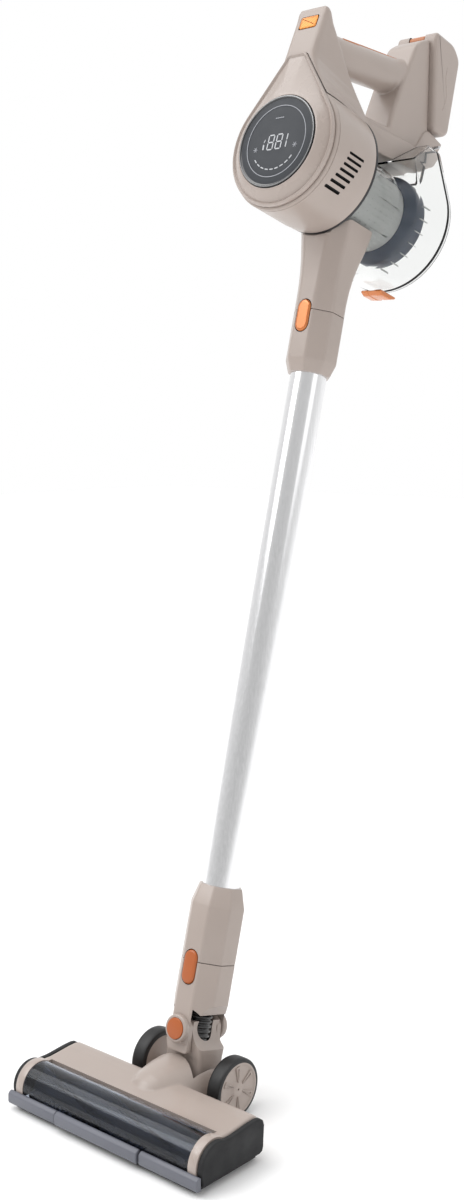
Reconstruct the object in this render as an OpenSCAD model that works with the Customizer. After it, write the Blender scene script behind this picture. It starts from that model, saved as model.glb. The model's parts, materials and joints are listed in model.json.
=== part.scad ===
// Cordless stick vacuum cleaner: hand unit with a clear dust cup, aluminium wand and a powered floor head.
// Millimetres. +X is the user's left-to-right, -Y is forward, +Z is up.
// The origin is the middle of the hand grip. The head stands flat and the wand leans back, as when parked.

/* [Stance] */
// Backward lean of the wand, in degrees
wand_lean = 15; // [10:1:20]

/* [Wand] */
// Outside diameter of the aluminium tube
tube_d = 35; // [33:0.5:36]
// Wall of the aluminium tube
tube_wall = 1.2; // [1:0.1:1.6]
// Bare length of tube between its two fittings
tube_show = 489; // [300:1:640]
// Depth of tube that sits inside each fitting
tube_seat = 26; // [20:1:30]
// Across-flats size of the octagonal fittings
fitting_af = 47; // [44:0.5:50]
// Length of the upper fitting below its seam
upper_fitting_len = 58; // [50:1:70]
// Length of the lower fitting above its seam
lower_fitting_len = 69; // [60:1:80]
// Outside diameter of the two push-in spigots
spigot_d = 38; // [36:0.5:39]
// Length of the two push-in spigots
spigot_len = 34; // [28:1:38]

/* [Hand unit] */
// Length of the inlet neck, from the wand seam to the motor axis
inlet_len = 132; // [125:1:145]
// Diameter of the motor housing
housing_d = 120; // [112:1:124]
// Depth of the motor housing behind the front panel
housing_depth = 63; // [56:1:70]
// Diameter of the display glass
glass_d = 84; // [70:1:88]
// Height of the arm's top above the motor axis
arm_rise = 137; // [130:1:150]
// Thickness of the handle loop from side to side
loop_w = 40; // [36:1:44]
// Diameter of the hand grip
grip_d = 34; // [30:0.5:36]
// Tilt of the grip from square to the wand, in degrees
grip_tilt = 13; // [10:1:16]

/* [Dust cup] */
// Diameter of the cup's round part
cup_d = 131; // [126:1:136]
// Length of the cup's wide part
cup_len = 54; // [48:1:66]
// Diameter of the cyclone shroud
shroud_d = 74; // [66:1:76]
// Drop of the cyclone axis below the motor axis
cyclone_drop = 11; // [9:1:13]
// Wall of the clear mouldings
clear_wall = 2; // [1.6:0.1:2.6]

/* [Battery] */
// Width of the battery case from side to side
battery_w = 50; // [46:1:56]
// Diameter of one battery cell
cell_d = 18; // [17:0.5:18.5]
// Length of one battery cell
cell_len = 65; // [60:1:66]
// Bore of the charging socket
charge_bore = 5.6; // [5:0.1:6]

/* [Floor head] */
// Width of the floor head
head_w = 236; // [210:1:280]
// Height of the roller's axis above the floor
roller_z = 19; // [18:0.5:20]
// Diameter of the brush roller over its bristles
brush_d = 37.4; // [34:0.2:38]
// Outside diameter of the clear roller window
window_d = 42; // [41:0.5:44]
// Diameter of the two rear wheels
wheel_d = 56; // [50:1:60]
// Width of the two rear wheels
wheel_w = 15; // [12:1:18]
// Height of the swivel axis along the wand
swivel_h = 73; // [71:1:78]
// Length of the upper neck above the swivel axis
neck_len = 62; // [58:1:72]

/* [Hidden] */
$fn = 64;

seam = 0.3;          // visible gap where two mouldings meet
slip = 0.4;          // radial clearance of pieces that slide in each other
run_fit = 0.05;      // radial clearance of a shaft in its bore
shell = 2.4;         // wall of the opaque mouldings
press = 0.02;        // gap left round a piece that is held still
overshoot = 1;       // how far a cutter runs past the face that it cuts

// Stations along the wand, measured from where its axis meets the floor
neck_seam = swivel_h + neck_len;
tube_low = neck_seam + lower_fitting_len;
tube_high = tube_low + tube_show;
wand_seam = tube_high + upper_fitting_len;
motor_h = wand_seam + inlet_len;
airway_d = spigot_d - 8;

// Hand unit stations along the motor axis, measured from the wand's axis
panel_y = -94;
nose_y = panel_y - 8;
housing_y0 = panel_y + 4;
housing_y1 = housing_y0 + housing_depth;
gasket_t = 2.5;
cup_y0 = housing_y1 + gasket_t + seam;
wide_y0 = 38;
wide_y1 = wide_y0 + cup_len;
lid_t = 3;
lid_gasket_t = 1.5;
cyclone_z = motor_h - cyclone_drop;
front_tube_d = shroud_d + 12;
skirt_d = shroud_d + 17;
skirt_y1 = wide_y0 + 46;
saddle_w = loop_w + 3;
saddle_h = 36;
ear_top = 68;

// Hand grip
grip_y = 5;
grip_z = 120;
grip_at = [0, grip_y * cos(wand_lean) + (motor_h + grip_z) * sin(wand_lean),
              (motor_h + grip_z) * cos(wand_lean) - grip_y * sin(wand_lean)];

// Side outline of the handle loop's bar and dock, from the motor axis
bar_outline = [[-24, 38], [14, 38], [92, 46], [111, 58], [125, 90], [98, 93], [78, 181], [57, 165],
               [46, 125], [38, 88], [34, 66], [-14, 62]];
battery_outline = [[98.5, 93.5], [78.5, 181.5], [80, 188], [112, 189], [126, 178], [126, 100], [120, 94]];
tongue_outline = [[64, 98], [64, 169], [84, 174], [102, 98]];
tongue_hollow = [[66, 100], [66, 167], [84, 171.5], [110, 171.5], [110, 100]];
tongue_w = loop_w - 6;

// Four cells stand side by side, two of them in the tongue that enters the dock
cell_at = [[cell_d / 2 + 0.3, 113, 107.5], [-cell_d / 2 - 0.3, 113, 107.5], [0, 94.8, 101], [0, 76, 101]];
jack_y = 126;
jack_z = 102;
jack_depth = 9.5;

// Floor head stations, measured on the floor from the wand's axis
wheel_y = 15;
wheel_z = wheel_d / 2;
arm_in = 26;
wheel_in = 40;
roller_y = -83;
cover_x = head_w / 2 - 6;
window_half = cover_x - 9;
cover_top = 40;
cover_rear = -24;
split_y = -66;
bulkhead_y = -58;
sole_z = 1;
sole_t = 3;
motor_y = -44;
motor_z = 20;
roller_motor_d = 24;
belt_x = -(window_half + 5);
belt_w = 3.2;
roller_pulley_d = 18;
motor_pulley_d = 10;
core_d = 22;
barrel_d = 34;
barrel_half = arm_in - 1.5;
axle_y = wheel_y * cos(wand_lean) - wheel_z * sin(wand_lean);
axle_z = wheel_y * sin(wand_lean) + wheel_z * cos(wand_lean);
neck_sweep = 29.5;
swivel_ear_out = 30;
swivel_ear_in = 24;
swivel_boss_d = 25;
swivel_pin_d = 8;
swivel_cap_d = 19;
swivel_gap = 46;
swivel_drop = 10;

// Frames: the wand's own frame has its axis up, the floor's frame is level
module on_wand() translate(-grip_at) rotate([-wand_lean, 0, 0]) children();
module on_motor() on_wand() translate([0, 0, motor_h]) children();
module on_cyclone() on_wand() translate([0, 0, cyclone_z]) children();
module on_floor() translate(-grip_at) children();
module on_grip() on_motor() translate([0, grip_y, grip_z]) rotate([grip_tilt, 0, 0]) children();

// Drawing helpers
module along_x(x0, x1) translate([x0, 0, 0]) rotate([90, 0, 90]) linear_extrude(x1 - x0) children();
module along_y(y0, y1) translate([0, y1, 0]) rotate([90, 0, 0]) linear_extrude(y1 - y0) children();
module along_z(z0, z1) translate([0, 0, z0]) linear_extrude(z1 - z0) children();
module rod_x(d, x0, x1, y = 0, z = 0) translate([x0, y, z]) rotate([0, 90, 0]) cylinder(d = d, h = x1 - x0);
module rod_y(d, y0, y1, x = 0, z = 0) translate([x, y1, z]) rotate([90, 0, 0]) cylinder(d = d, h = y1 - y0);
module cone_y(d0, d1, y0, y1) translate([0, y0, 0]) rotate([-90, 0, 0]) cylinder(d1 = d0, d2 = d1, h = y1 - y0);
module block(x0, x1, y0, y1, z0, z1) translate([x0, y0, z0]) cube([x1 - x0, y1 - y0, z1 - z0]);
module octagon(af) rotate(180 / 8) circle(d = af / cos(180 / 8), $fn = 8);
module octagon_bar(af, z0, z1) along_z(z0, z1) octagon(af);
module capsule(w, h) hull() for (s = [-1, 1]) translate([0, s * (h - w) / 2]) circle(d = w, $fn = 32);
module both_sides() for (s = [-1, 1]) scale_x(s) children();
module scale_x(s) if (s < 0) mirror([1, 0, 0]) children(); else children();

// ---------------------------------------------------------------- hand unit shells

module housing_envelope(gap) rod_y(housing_d + 2 * gap, panel_y - overshoot, cup_y0);

arm_w = 35;
arm_neck_z = 88;
arm_spine = [[-84, arm_rise - 3], [-76, arm_rise - 5], [-34, 87], [-10, 62], [-24, 38], [-84, 40]];
module spine_plate() along_x(-loop_w / 2 + 1, loop_w / 2 - 1) polygon(arm_spine);
module arm_solid() {
    hull() {
        along_y(panel_y + 2, panel_y + 6) translate([0, arm_neck_z - 4]) square([arm_w, 8], center = true);
        along_y(panel_y + 9, panel_y + 14) translate([0, arm_rise - 3]) square([arm_w - 6, 6], center = true);
        along_y(panel_y + 9, panel_y + 14) translate([0, arm_rise - 5]) square([arm_w, 2], center = true);
        spine_plate();
    }
    hull() {
        along_y(panel_y + 3, panel_y + 6)
            polygon([[-46, 26], [46, 26], [arm_w / 2, arm_neck_z - 1], [-arm_w / 2, arm_neck_z - 1]]);
        along_x(-loop_w / 2 + 1.5, loop_w / 2 - 1.5) polygon([[-84, 80], [-40, 80], [-14, 60], [-24, 40], [-84, 40]]);
    }
}

module handle_frame() on_motor() color("#bdb1a8") difference() {
    union() {
        arm_solid();
        along_x(-loop_w / 2, loop_w / 2) polygon(bar_outline);
        translate([0, grip_y, grip_z]) rotate([grip_tilt, 0, 0]) rod_y(grip_d, -62, 50);
    }
    housing_envelope(seam);
    panel_envelope(seam);
    power_button_pocket();
    grip_hollow();
    translate([0, grip_y, grip_z]) rotate([grip_tilt, 0, 0]) inlay_band(press);
    along_x(-tongue_w / 2 - slip, tongue_w / 2 + slip) offset(delta = slip) polygon(tongue_outline);
    dock_contacts(press);
    frame_screw_holes();
}

// Wire run from the arm's foot through the grip to the battery dock
module grip_hollow() {
    translate([0, grip_y, grip_z]) rotate([grip_tilt, 0, 0]) rod_y(grip_d - 10, -60, 66);
    along_x(-loop_w / 2 + 8, loop_w / 2 - 8)
        polygon([[-78, 50], [-78, arm_rise - 22], [-66, arm_rise - 30], [-40, 78], [-32, 50]]);
}

inlay_w = 11;
inlay_t = 2;
module inlay_band(gap) difference() {
    intersection() {
        rod_y(grip_d + 0.8 + 2 * gap, -45 - gap, 48 + gap);
        block(-inlay_w / 2 - gap, inlay_w / 2 + gap, -60, 60, 0, grip_d);
    }
    rod_y(grip_d - 2 * inlay_t - 2 * gap, -60, 60);
}
module grip_inlay() on_grip() color("#d2793a") inlay_band(0);

// Power button on the arm's front face
button_at = [0, -88.5, 121];
button_w = 21;
button_h = 13;
button_t = 7;
button_travel = 1.5;
arm_slope = 11.5;
module on_power_button() translate(button_at) rotate([-arm_slope, 0, 0]) children();
module power_button_pocket() on_power_button()
    along_y(-overshoot - 8, button_t + button_travel + 3) square([button_w + 2 * slip, button_h + 2 * slip], center = true);
module power_button() on_motor() on_power_button() color("#dd7a2c")
    along_y(-1.2, button_t) offset(r = 2) square([button_w - 4, button_h - 4], center = true);

module teardrop_panel(grow) hull() {
    circle(d = housing_d - 4 + 2 * grow, $fn = 64);
    translate([0, 82]) square([24 + 2 * grow, 10 + 2 * grow], center = true);
}
module panel_envelope(gap) along_y(nose_y - 10, housing_y0) teardrop_panel(gap);

module front_panel() on_motor() color("#c2b6ad") difference() {
    union() {
        along_y(panel_y, housing_y0 - seam) teardrop_panel(0);
        cone_y(glass_d + 8, housing_d - 8, nose_y, panel_y);
    }
    rod_y(glass_d + 3 + 2 * press, nose_y - overshoot, housing_y0 + overshoot);
}

module display_bezel() on_motor() color("#26282b") difference() {
    rod_y(glass_d + 3, nose_y - 1.5, housing_y0 - 1);
    rod_y(glass_d + 2 * press, nose_y - 4, nose_y + 1.5);
    rod_y(glass_d - 4, nose_y, housing_y0 + overshoot);
}
module display_glass() on_motor() color("#3a3d42") rod_y(glass_d, nose_y - 0.8, nose_y + 1.5);
module display_board() on_motor() color("#2f5d3a") difference() {
    rod_y(glass_d - 6, nose_y + 4, nose_y + 5.6);
    rod_y(6, nose_y + 3, nose_y + 7, 0, -24);
}

// Motor housing with seven exhaust slots on each side
slot_count = 7;
slot_pitch = 5.6;
slot_t = 2.4;
slot_len = 19;
module exhaust_slots() for (i = [0 : slot_count - 1])
    translate([housing_d / 2 - 14, housing_y0 + 24, -6 - i * slot_pitch])
        cube([30, slot_len, slot_t]);
module motor_housing() on_motor() color("#bdb1a8") difference() {
    rod_y(housing_d, housing_y0, housing_y1);
    rod_y(housing_d - 2 * shell, housing_y0 + shell, housing_y1 - shell);
    rod_y(glass_d - 10, housing_y0 - overshoot, housing_y0 + 2 * shell);
    rod_y(44, housing_y1 - 2 * shell, housing_y1 + overshoot, 0, -cyclone_drop);
    both_sides() exhaust_slots();
}

// ---------------------------------------------------------------- inlet neck

module inlet_solid() {
    octagon_bar(fitting_af, wand_seam + seam, motor_h - 96);
    hull() {
        octagon_bar(fitting_af + 0.3, motor_h - 100, motor_h - 92);
        translate([0, 5, motor_h - 48]) along_z(0, 12) offset(r = 10) square([38, 42], center = true);
    }
}
module inlet_neck() on_wand() color("#bdb1a8") difference() {
    inlet_solid();
    translate([0, 0, motor_h]) rod_y(housing_d + 2 * seam, -200, cup_y0);
    translate([0, 0, cyclone_z]) rod_y(front_tube_d + 2 * slip, housing_y1, wide_y0 + 20);
    translate([0, 0, wand_seam]) cylinder(d = spigot_d + 2 * slip, h = spigot_len + 3);
    along_z(wand_seam, motor_h - 30) circle(d = airway_d);
    wand_button_notch();
}

// ---------------------------------------------------------------- fan motor

can_d = 70;
can_y0 = housing_y0 + 8;
can_y1 = housing_y1 - 6;
rotor_shaft_d = 5;
module motor_can() on_motor() color("#9a9da1") difference() {
    rod_y(can_d, can_y0, can_y1);
    rod_y(can_d - 3, can_y0 + 2, can_y1 - 2);
    rod_y(46, can_y1 - 4, can_y1 + overshoot);
    rod_y(rotor_shaft_d + 2 * run_fit, can_y0 - overshoot, can_y0 + 4);
    for (a = [0 : 45 : 315]) rotate([0, a, 0]) rod_y(9, can_y0 - overshoot, can_y0 + 4, 24, 0);
}
module motor_stator() on_motor() color("#8a5a3a") difference() {
    rod_y(can_d - 3 - 2 * press, can_y0 + 5, can_y0 + 23);
    rod_y(38, can_y0 + 4, can_y0 + 24);
}
module motor_rotor() on_motor() color("#c9ccd0") {
    rod_y(rotor_shaft_d, can_y0 + 0.5, can_y1 - 8);
    rod_y(34, can_y0 + 6, can_y0 + 22);
    rod_y(58, can_y1 - 16, can_y1 - 13);
    for (a = [0 : 40 : 320]) rotate([0, a, 0]) block(10, 28, can_y1 - 13.5, can_y1 - 6, -0.7, 0.7);
    rod_y(20, can_y1 - 14, can_y1 - 7);
}
module motor_seal() on_motor() color("#222222") difference() {
    rod_y(can_d + 6, can_y1 + seam, housing_y1 - shell - seam);
    rod_y(50, can_y1 - overshoot, housing_y1);
}
module rim_gasket() on_motor() color("#1d1d1f") difference() {
    rod_y(housing_d - 2, housing_y1, housing_y1 + gasket_t);
    rod_y(60, housing_y1 - overshoot, housing_y1 + gasket_t + overshoot, 0, -cyclone_drop);
}

// ---------------------------------------------------------------- cyclone and cup

module cyclone_shroud() on_cyclone() color("#a9acaa") difference() {
    union() {
        rod_y(shroud_d, cup_y0, wide_y0 + 19);
        rod_y(56, housing_y1 + seam, cup_y0 + 1);
        rod_y(front_tube_d - 2 * clear_wall - 2 * slip, cup_y0, cup_y0 + 2.5);
    }
    rod_y(shroud_d - 4, cup_y0 + 2, wide_y0 + 17);
    rod_y(48, housing_y1 - overshoot, cup_y0 + 3);
    for (a = [0 : 20 : 340], y = [12 : 8 : 44]) rotate([0, a, 0]) rod_z_hole(y);
    rod_y(30, wide_y0 + 15, wide_y0 + 20);
}
module rod_z_hole(y) translate([0, y, shroud_d / 2 - 4]) cylinder(d = 4, h = 8);
module cyclone_skirt() on_cyclone() color("#3d4757") difference() {
    union() {
        cone_y(shroud_d - 4, skirt_d, wide_y0 + 19 + seam, wide_y0 + 34);
        cone_y(skirt_d, skirt_d - 8, wide_y0 + 34, skirt_y1);
    }
    rod_y(shroud_d - 10, wide_y0 + 22, skirt_y1 + overshoot);
    rod_y(30, wide_y0 + 15, wide_y0 + 23);
}
module hepa_filter() on_cyclone() color("#e9e6df") difference() {
    along_y(cup_y0 + 4, wide_y0 + 12) circle(d = shroud_d - 12, $fn = 64);
    rod_y(32, cup_y0 + 3, wide_y0 + 13);
    for (a = [0 : 15 : 345]) rotate([0, a, 0])
        translate([0, cup_y0 + 3, (shroud_d - 12) / 2 - 6]) rotate([-90, 0, 0]) cylinder(d = 3, h = wide_y0 - cup_y0 + 10);
}

// Outline of the cup's wide part: round below, with two ears that rise beside the handle bar
module cup_outline(grow) difference() {
    hull() {
        circle(d = cup_d + 2 * grow, $fn = 96);
        for (s = [-1, 1]) translate([s * 33, ear_top + cyclone_drop - 8]) circle(r = 8 + grow, $fn = 32);
    }
    translate([-saddle_w / 2 + grow, saddle_h + cyclone_drop - grow]) square([saddle_w - 2 * grow, 100]);
}
hinge_y = wide_y1 + lid_gasket_t + 2;
hinge_z = ear_top + cyclone_drop + 4;
hinge_d = 3;
module hinge_lug(x0, x1, y0) hull() {
    rod_x(8, x0, x1, hinge_y, hinge_z);
    block(x0, x1, y0, y0 + 3, hinge_z - 12, hinge_z - 4);
}
// Space above the ears, whose tops slope up from the front of the wide part to the lid
module above_ears(drop) along_x(-60, 60) polygon([
    [wide_y0 - 5, saddle_h + cyclone_drop - 4 - drop], [wide_y1 - 12, ear_top + cyclone_drop - drop],
    [wide_y1 - 12, ear_top + cyclone_drop + 20], [wide_y0 - 5, ear_top + cyclone_drop + 20]]);
module dust_cup() on_cyclone() color([0.86, 0.88, 0.88, 0.35]) difference() {
    union() {
        difference() {
            along_y(wide_y0, wide_y1) cup_outline(0);
            above_ears(0);
        }
        rod_y(front_tube_d, cup_y0 + seam, wide_y0 + 2);
        both_sides() hinge_lug(34, 38, wide_y1 - 3.5);
        latch_seat();
    }
    difference() {
        along_y(wide_y0 + clear_wall, wide_y1 + overshoot) cup_outline(-clear_wall);
        above_ears(1.3 * clear_wall);
        block(-14, 14, wide_y0, wide_y1 + 2, -cup_d, -cup_d / 2 + 4);
    }
    rod_y(front_tube_d - 2 * clear_wall, cup_y0 - overshoot, wide_y0 + 2 * clear_wall);
    cylinder(d = airway_d, h = 2 * front_tube_d, center = true, $fn = 64);
    both_sides() rod_x(hinge_d + 2 * run_fit, 20, 42, hinge_y, hinge_z);
}
latch_pin_d = 2.4;
latch_pin_y = wide_y1 - 14;
latch_pin_z = -cup_d / 2 - 5.2;
module latch_seat() {
    block(-8, 8, wide_y1 - 18, wide_y1 - 10, -cup_d / 2 - 2.5, -cup_d / 2 + 3);
    both_sides() {
        block(12.6, 15.2, wide_y1 - 18, wide_y1 - 10, latch_pin_z - 2.4, -cup_d / 2 + 2.5);
        rod_x(latch_pin_d, 9, 13, latch_pin_y, latch_pin_z);
    }
}

module cup_lid() on_cyclone() color([0.86, 0.88, 0.88, 0.35]) difference() {
    union() {
        along_y(wide_y1 + lid_gasket_t + seam, wide_y1 + lid_gasket_t + seam + lid_t) cup_outline(0);
        both_sides() hinge_lug(27, 33.6, wide_y1 + lid_gasket_t + seam);
    }
    both_sides() block(34 - slip, 50, wide_y1, wide_y1 + 20, hinge_z - 13, hinge_z + 10);
    both_sides() rod_x(hinge_d + 2 * press, 20, 42, hinge_y, hinge_z);
}
module lid_gasket() on_cyclone() color("#4a4d50") along_y(wide_y1 + 2 * seam, wide_y1 + lid_gasket_t) difference() {
    cup_outline(-0.4);
    cup_outline(-2.6);
    both_sides() translate([26, hinge_z - 14]) square([20, 30]);
}
module lid_pins() on_cyclone() color("#c9ccd0") both_sides() rod_x(hinge_d, 27.2, 37.8, hinge_y, hinge_z);

// Latch that tips on two stub pins below the cup
latch_y = wide_y1 - 8;
module cup_latch() on_cyclone() color("#c98459") difference() {
    along_x(-12, 12) polygon([
        [latch_y - 10, -cup_d / 2 - 3.4], [latch_y + 16, -cup_d / 2 - 3.4], [latch_y + 16, -cup_d / 2 - 6],
        [latch_y + 8, -cup_d / 2 - 9], [latch_y - 6, -cup_d / 2 - 9], [latch_y - 12, -cup_d / 2 - 6]]);
    both_sides() rod_x(latch_pin_d + 2 * run_fit, 8.5, 13, latch_pin_y, latch_pin_z);
}

// ---------------------------------------------------------------- battery

module dock_contacts(gap) for (s = [-1, 1])
    block(s * 8 - 2.5 - gap, s * 8 + 2.5 + gap, 59 - gap, 63.3 + gap, 126 - gap, 138 + gap);
module battery_dock_contacts() on_motor() color("#c8a24a") dock_contacts(0);

module battery_case() on_motor() color("#bdb1a8") difference() {
    union() {
        along_x(-battery_w / 2, battery_w / 2) offset(r = 3) offset(r = -3) polygon(battery_outline);
        along_x(-tongue_w / 2, tongue_w / 2) polygon(tongue_outline);
    }
    along_x(-battery_w / 2 + shell, battery_w / 2 - shell) offset(delta = -shell) polygon(battery_outline);
    along_x(-tongue_w / 2 + shell, tongue_w / 2 - shell) polygon(tongue_hollow);
    rod_y(charge_bore + 4 + 2 * press, jack_y - jack_depth - 4, jack_y + overshoot, 0, jack_z);
    battery_button_pocket();
}
module battery_cells() on_motor() color("#3b6ea5") for (p = cell_at)
    translate(p) cylinder(d = cell_d, h = cell_len);
module battery_board() on_motor() color("#2f5d3a") block(-18, 18, 96, 121, 174.5, 176.1);
module charge_socket() on_motor() color("#1d1d1f") difference() {
    rod_y(charge_bore + 4, jack_y - jack_depth - 2, jack_y, 0, jack_z);
    rod_y(charge_bore, jack_y - jack_depth, jack_y + overshoot, 0, jack_z);
}

// Release button on top of the battery
module battery_button_pocket() block(-9 - slip, 9 + slip, 84, 100, 182, 200);
module battery_button() on_motor() color("#b8683a") block(-9, 9, 84.5, 99.5, 184.6, 189.8);

// ---------------------------------------------------------------- wand

button_cap_w = 15;
button_cap_h = 31;
button_reach = 5;
press_travel = 3;
module capsule_button(z, af) translate([0, -af / 2 - 1.2, z]) along_y(0, button_reach) capsule(button_cap_w, button_cap_h);
module capsule_pocket(z, af) translate([0, -af / 2 - overshoot - 1, z])
    along_y(-overshoot, button_reach + press_travel + 3) capsule(button_cap_w + 2 * slip, button_cap_h + 2 * slip);
module open_pocket(z, af, up) hull() {
    capsule_pocket(z, af);
    translate([0, 0, up]) capsule_pocket(z, af);
}
wand_button_z = wand_seam - 6;
head_button_z = neck_seam - 6;
module wand_button_notch() open_pocket(wand_button_z, fitting_af, -spigot_len);

module chamfered_octagon(af, z0, z1, cut, up) difference() {
    octagon_bar(af, z0, z1);
    translate([0, 0, up ? z1 : z0]) mirror([0, 0, up ? 0 : 1]) difference() {
        translate([0, 0, -cut]) cylinder(d = 2 * af, h = cut + overshoot);
        translate([0, 0, -cut - 0.01]) cylinder(d1 = af * 1.09, d2 = af * 1.09 - 2 * cut * 0.42, h = cut + 2 * overshoot);
    }
}

module wand_tube() on_wand() color("#c9cbcc") difference() {
    along_z(tube_low - tube_seat, tube_high + tube_seat) circle(d = tube_d);
    along_z(tube_low - tube_seat - overshoot, tube_high + tube_seat + overshoot) circle(d = tube_d - 2 * tube_wall);
}
module wand_top_fitting() on_wand() color("#bdb1a8") difference() {
    union() {
        chamfered_octagon(fitting_af, tube_high, wand_seam, 12, false);
        along_z(wand_seam - 2, wand_seam + spigot_len) circle(d = spigot_d);
    }
    along_z(tube_high - overshoot, tube_high + tube_seat + press) circle(d = tube_d + 2 * press);
    along_z(tube_high, wand_seam + spigot_len + overshoot) circle(d = airway_d);
    capsule_pocket(wand_button_z, fitting_af);
    plug_pocket(wand_seam + spigot_len);
}
module wand_bottom_fitting() on_wand() color("#bdb1a8") difference() {
    chamfered_octagon(fitting_af + 2, neck_seam + seam, tube_low, 16, true);
    along_z(tube_low - tube_seat - press, tube_low + overshoot) circle(d = tube_d + 2 * press);
    along_z(neck_seam, neck_seam + spigot_len + 3) circle(d = spigot_d + 2 * slip);
    along_z(neck_seam, tube_low) circle(d = airway_d);
    open_pocket(head_button_z, fitting_af + 2, -spigot_len);
}
// Flat duct inside the tube that carries the wires to the floor head
module wand_wire_duct() on_wand() color("#2a2a2c") difference() {
    block(-5, 5, airway_d / 2 - 5, airway_d / 2 - 1, tube_low - 20, tube_high + 20);
    block(-4, 4, airway_d / 2 - 4, airway_d / 2 - 2, tube_low - 21, tube_high + 21);
}
plug_d = 3;
module plug_pocket(z) for (s = [-1, 1]) translate([s * 4, spigot_d / 2 - 2, z - 10]) cylinder(d = plug_d + 2 * press - 1, h = 12, $fn = 24);
module plug_pins(z) for (s = [-1, 1]) translate([s * 4, spigot_d / 2 - 2, z - 9.5]) cylinder(d = plug_d - 1, h = 11.5, $fn = 24);
module wand_plug() on_wand() color("#c8a24a") plug_pins(wand_seam + spigot_len);
module wand_button() on_wand() color("#dd7a2c") capsule_button(wand_button_z, fitting_af);

// ---------------------------------------------------------------- neck

neck_af = fitting_af + 2;
// Wedge that clears the swivel on both sides, a half plane that tilts up from the swivel axis
module swivel_wedge(tilt, up) both_sides() translate([0, 0, swivel_h]) rotate([0, -tilt, 0])
    translate([0, -60, up ? 0 : -80]) cube([80, 120, 80]);

module neck_upper() on_wand() color("#bdb1a8") difference() {
    union() {
        difference() {
            octagon_bar(neck_af, swivel_h - 1, neck_seam);
            swivel_wedge(swivel_gap, false);
        }
        along_z(neck_seam - 2, neck_seam + spigot_len) circle(d = spigot_d);
        for (s = [-1, 1]) translate([0, s * (swivel_ear_in + 3), 0]) {
            rod_y(swivel_boss_d, -3, 3, 0, swivel_h);
            block(-swivel_boss_d / 2 + 0.5, swivel_boss_d / 2 - 0.5, s > 0 ? -3 : -1.5, s > 0 ? 1.5 : 3, swivel_h, swivel_h + 24);
        }
    }
    along_z(swivel_h + 12, neck_seam + spigot_len + overshoot) circle(d = airway_d);
    translate([0, 0, swivel_h]) rod_y(44 + 2 * seam, -swivel_ear_in, swivel_ear_in);
    rod_y(swivel_pin_d + 2 * run_fit, -60, 60, 0, swivel_h);
    rod_y(swivel_cap_d + 2 * press, -swivel_ear_out - 5, -swivel_ear_out + 1, 0, swivel_h);
    capsule_pocket(head_button_z, neck_af);
    plug_pocket(neck_seam + spigot_len);
}
module neck_plug() on_wand() color("#c8a24a") plug_pins(neck_seam + spigot_len);
module head_button() on_wand() color("#b9561f") capsule_button(head_button_z, neck_af);

module neck_lower() on_wand() color("#bdb1a8") difference() {
    union() {
        difference() {
            along_z(axle_z, swivel_h + 4) translate([0, 1.5]) offset(r = 5) square([36, 26], center = true);
            swivel_wedge(-swivel_drop, true);
            along_x(-30, 30) polygon([[-20, 20], [-12.8, 20], [-12.8, axle_z + 17], [-16.6, axle_z + 27], [-20, axle_z + 27]]);
        }
        for (s = [-1, 1]) hull() {
            rod_y(swivel_boss_d - 3, s * (swivel_ear_in - 3.1) - 2.5, s * (swivel_ear_in - 3.1) + 2.5, 0, swivel_h);
            block(-11, 11, s > 0 ? 13 : -swivel_ear_in + 0.6, s > 0 ? swivel_ear_in - 0.6 : -13, axle_z + 20, axle_z + 24);
        }
        rod_x(barrel_d, -barrel_half, barrel_half, axle_y, axle_z);
    }
    along_z(swivel_h - 22.5, swivel_h + 40) circle(d = hose_d + 2 * slip);
    along_z(axle_z, swivel_h) circle(d = hose_d - 6);
    rod_x(barrel_d - 8, -barrel_half - overshoot, barrel_half + overshoot, axle_y, axle_z);
    rod_y(swivel_pin_d + 2 * press, -60, 60, 0, swivel_h);
    translate([0, axle_y, axle_z]) rotate([wand_lean, 0, 0]) rod_y(20, -40, 0);
}
module swivel_pins() on_wand() color("#c9ccd0") for (s = [-1, 1])
    rod_y(swivel_pin_d, s > 0 ? swivel_ear_in - 5.5 : -swivel_ear_out + 1, s > 0 ? swivel_ear_out - 1 : -swivel_ear_in + 5.5, 0, swivel_h);
module swivel_cap() on_wand() color("#b9561f") rod_y(swivel_cap_d, -swivel_ear_out - 1.2, -swivel_ear_out + 0.9, 0, swivel_h);

// Ribbed hose through the swivel
hose_d = 27;
module bellows_hose() on_wand() color("#1b1b1d") difference() {
    union() for (i = [0 : 8]) {
        along_z(swivel_h - 22 + i * 5, swivel_h - 19.4 + i * 5) circle(d = hose_d);
        along_z(swivel_h - 20 + i * 5, swivel_h - 16.8 + i * 5) circle(d = hose_d - 3);
    }
    along_z(swivel_h - 30, swivel_h + 40) circle(d = hose_d - 6);
}

// ---------------------------------------------------------------- floor head

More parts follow.
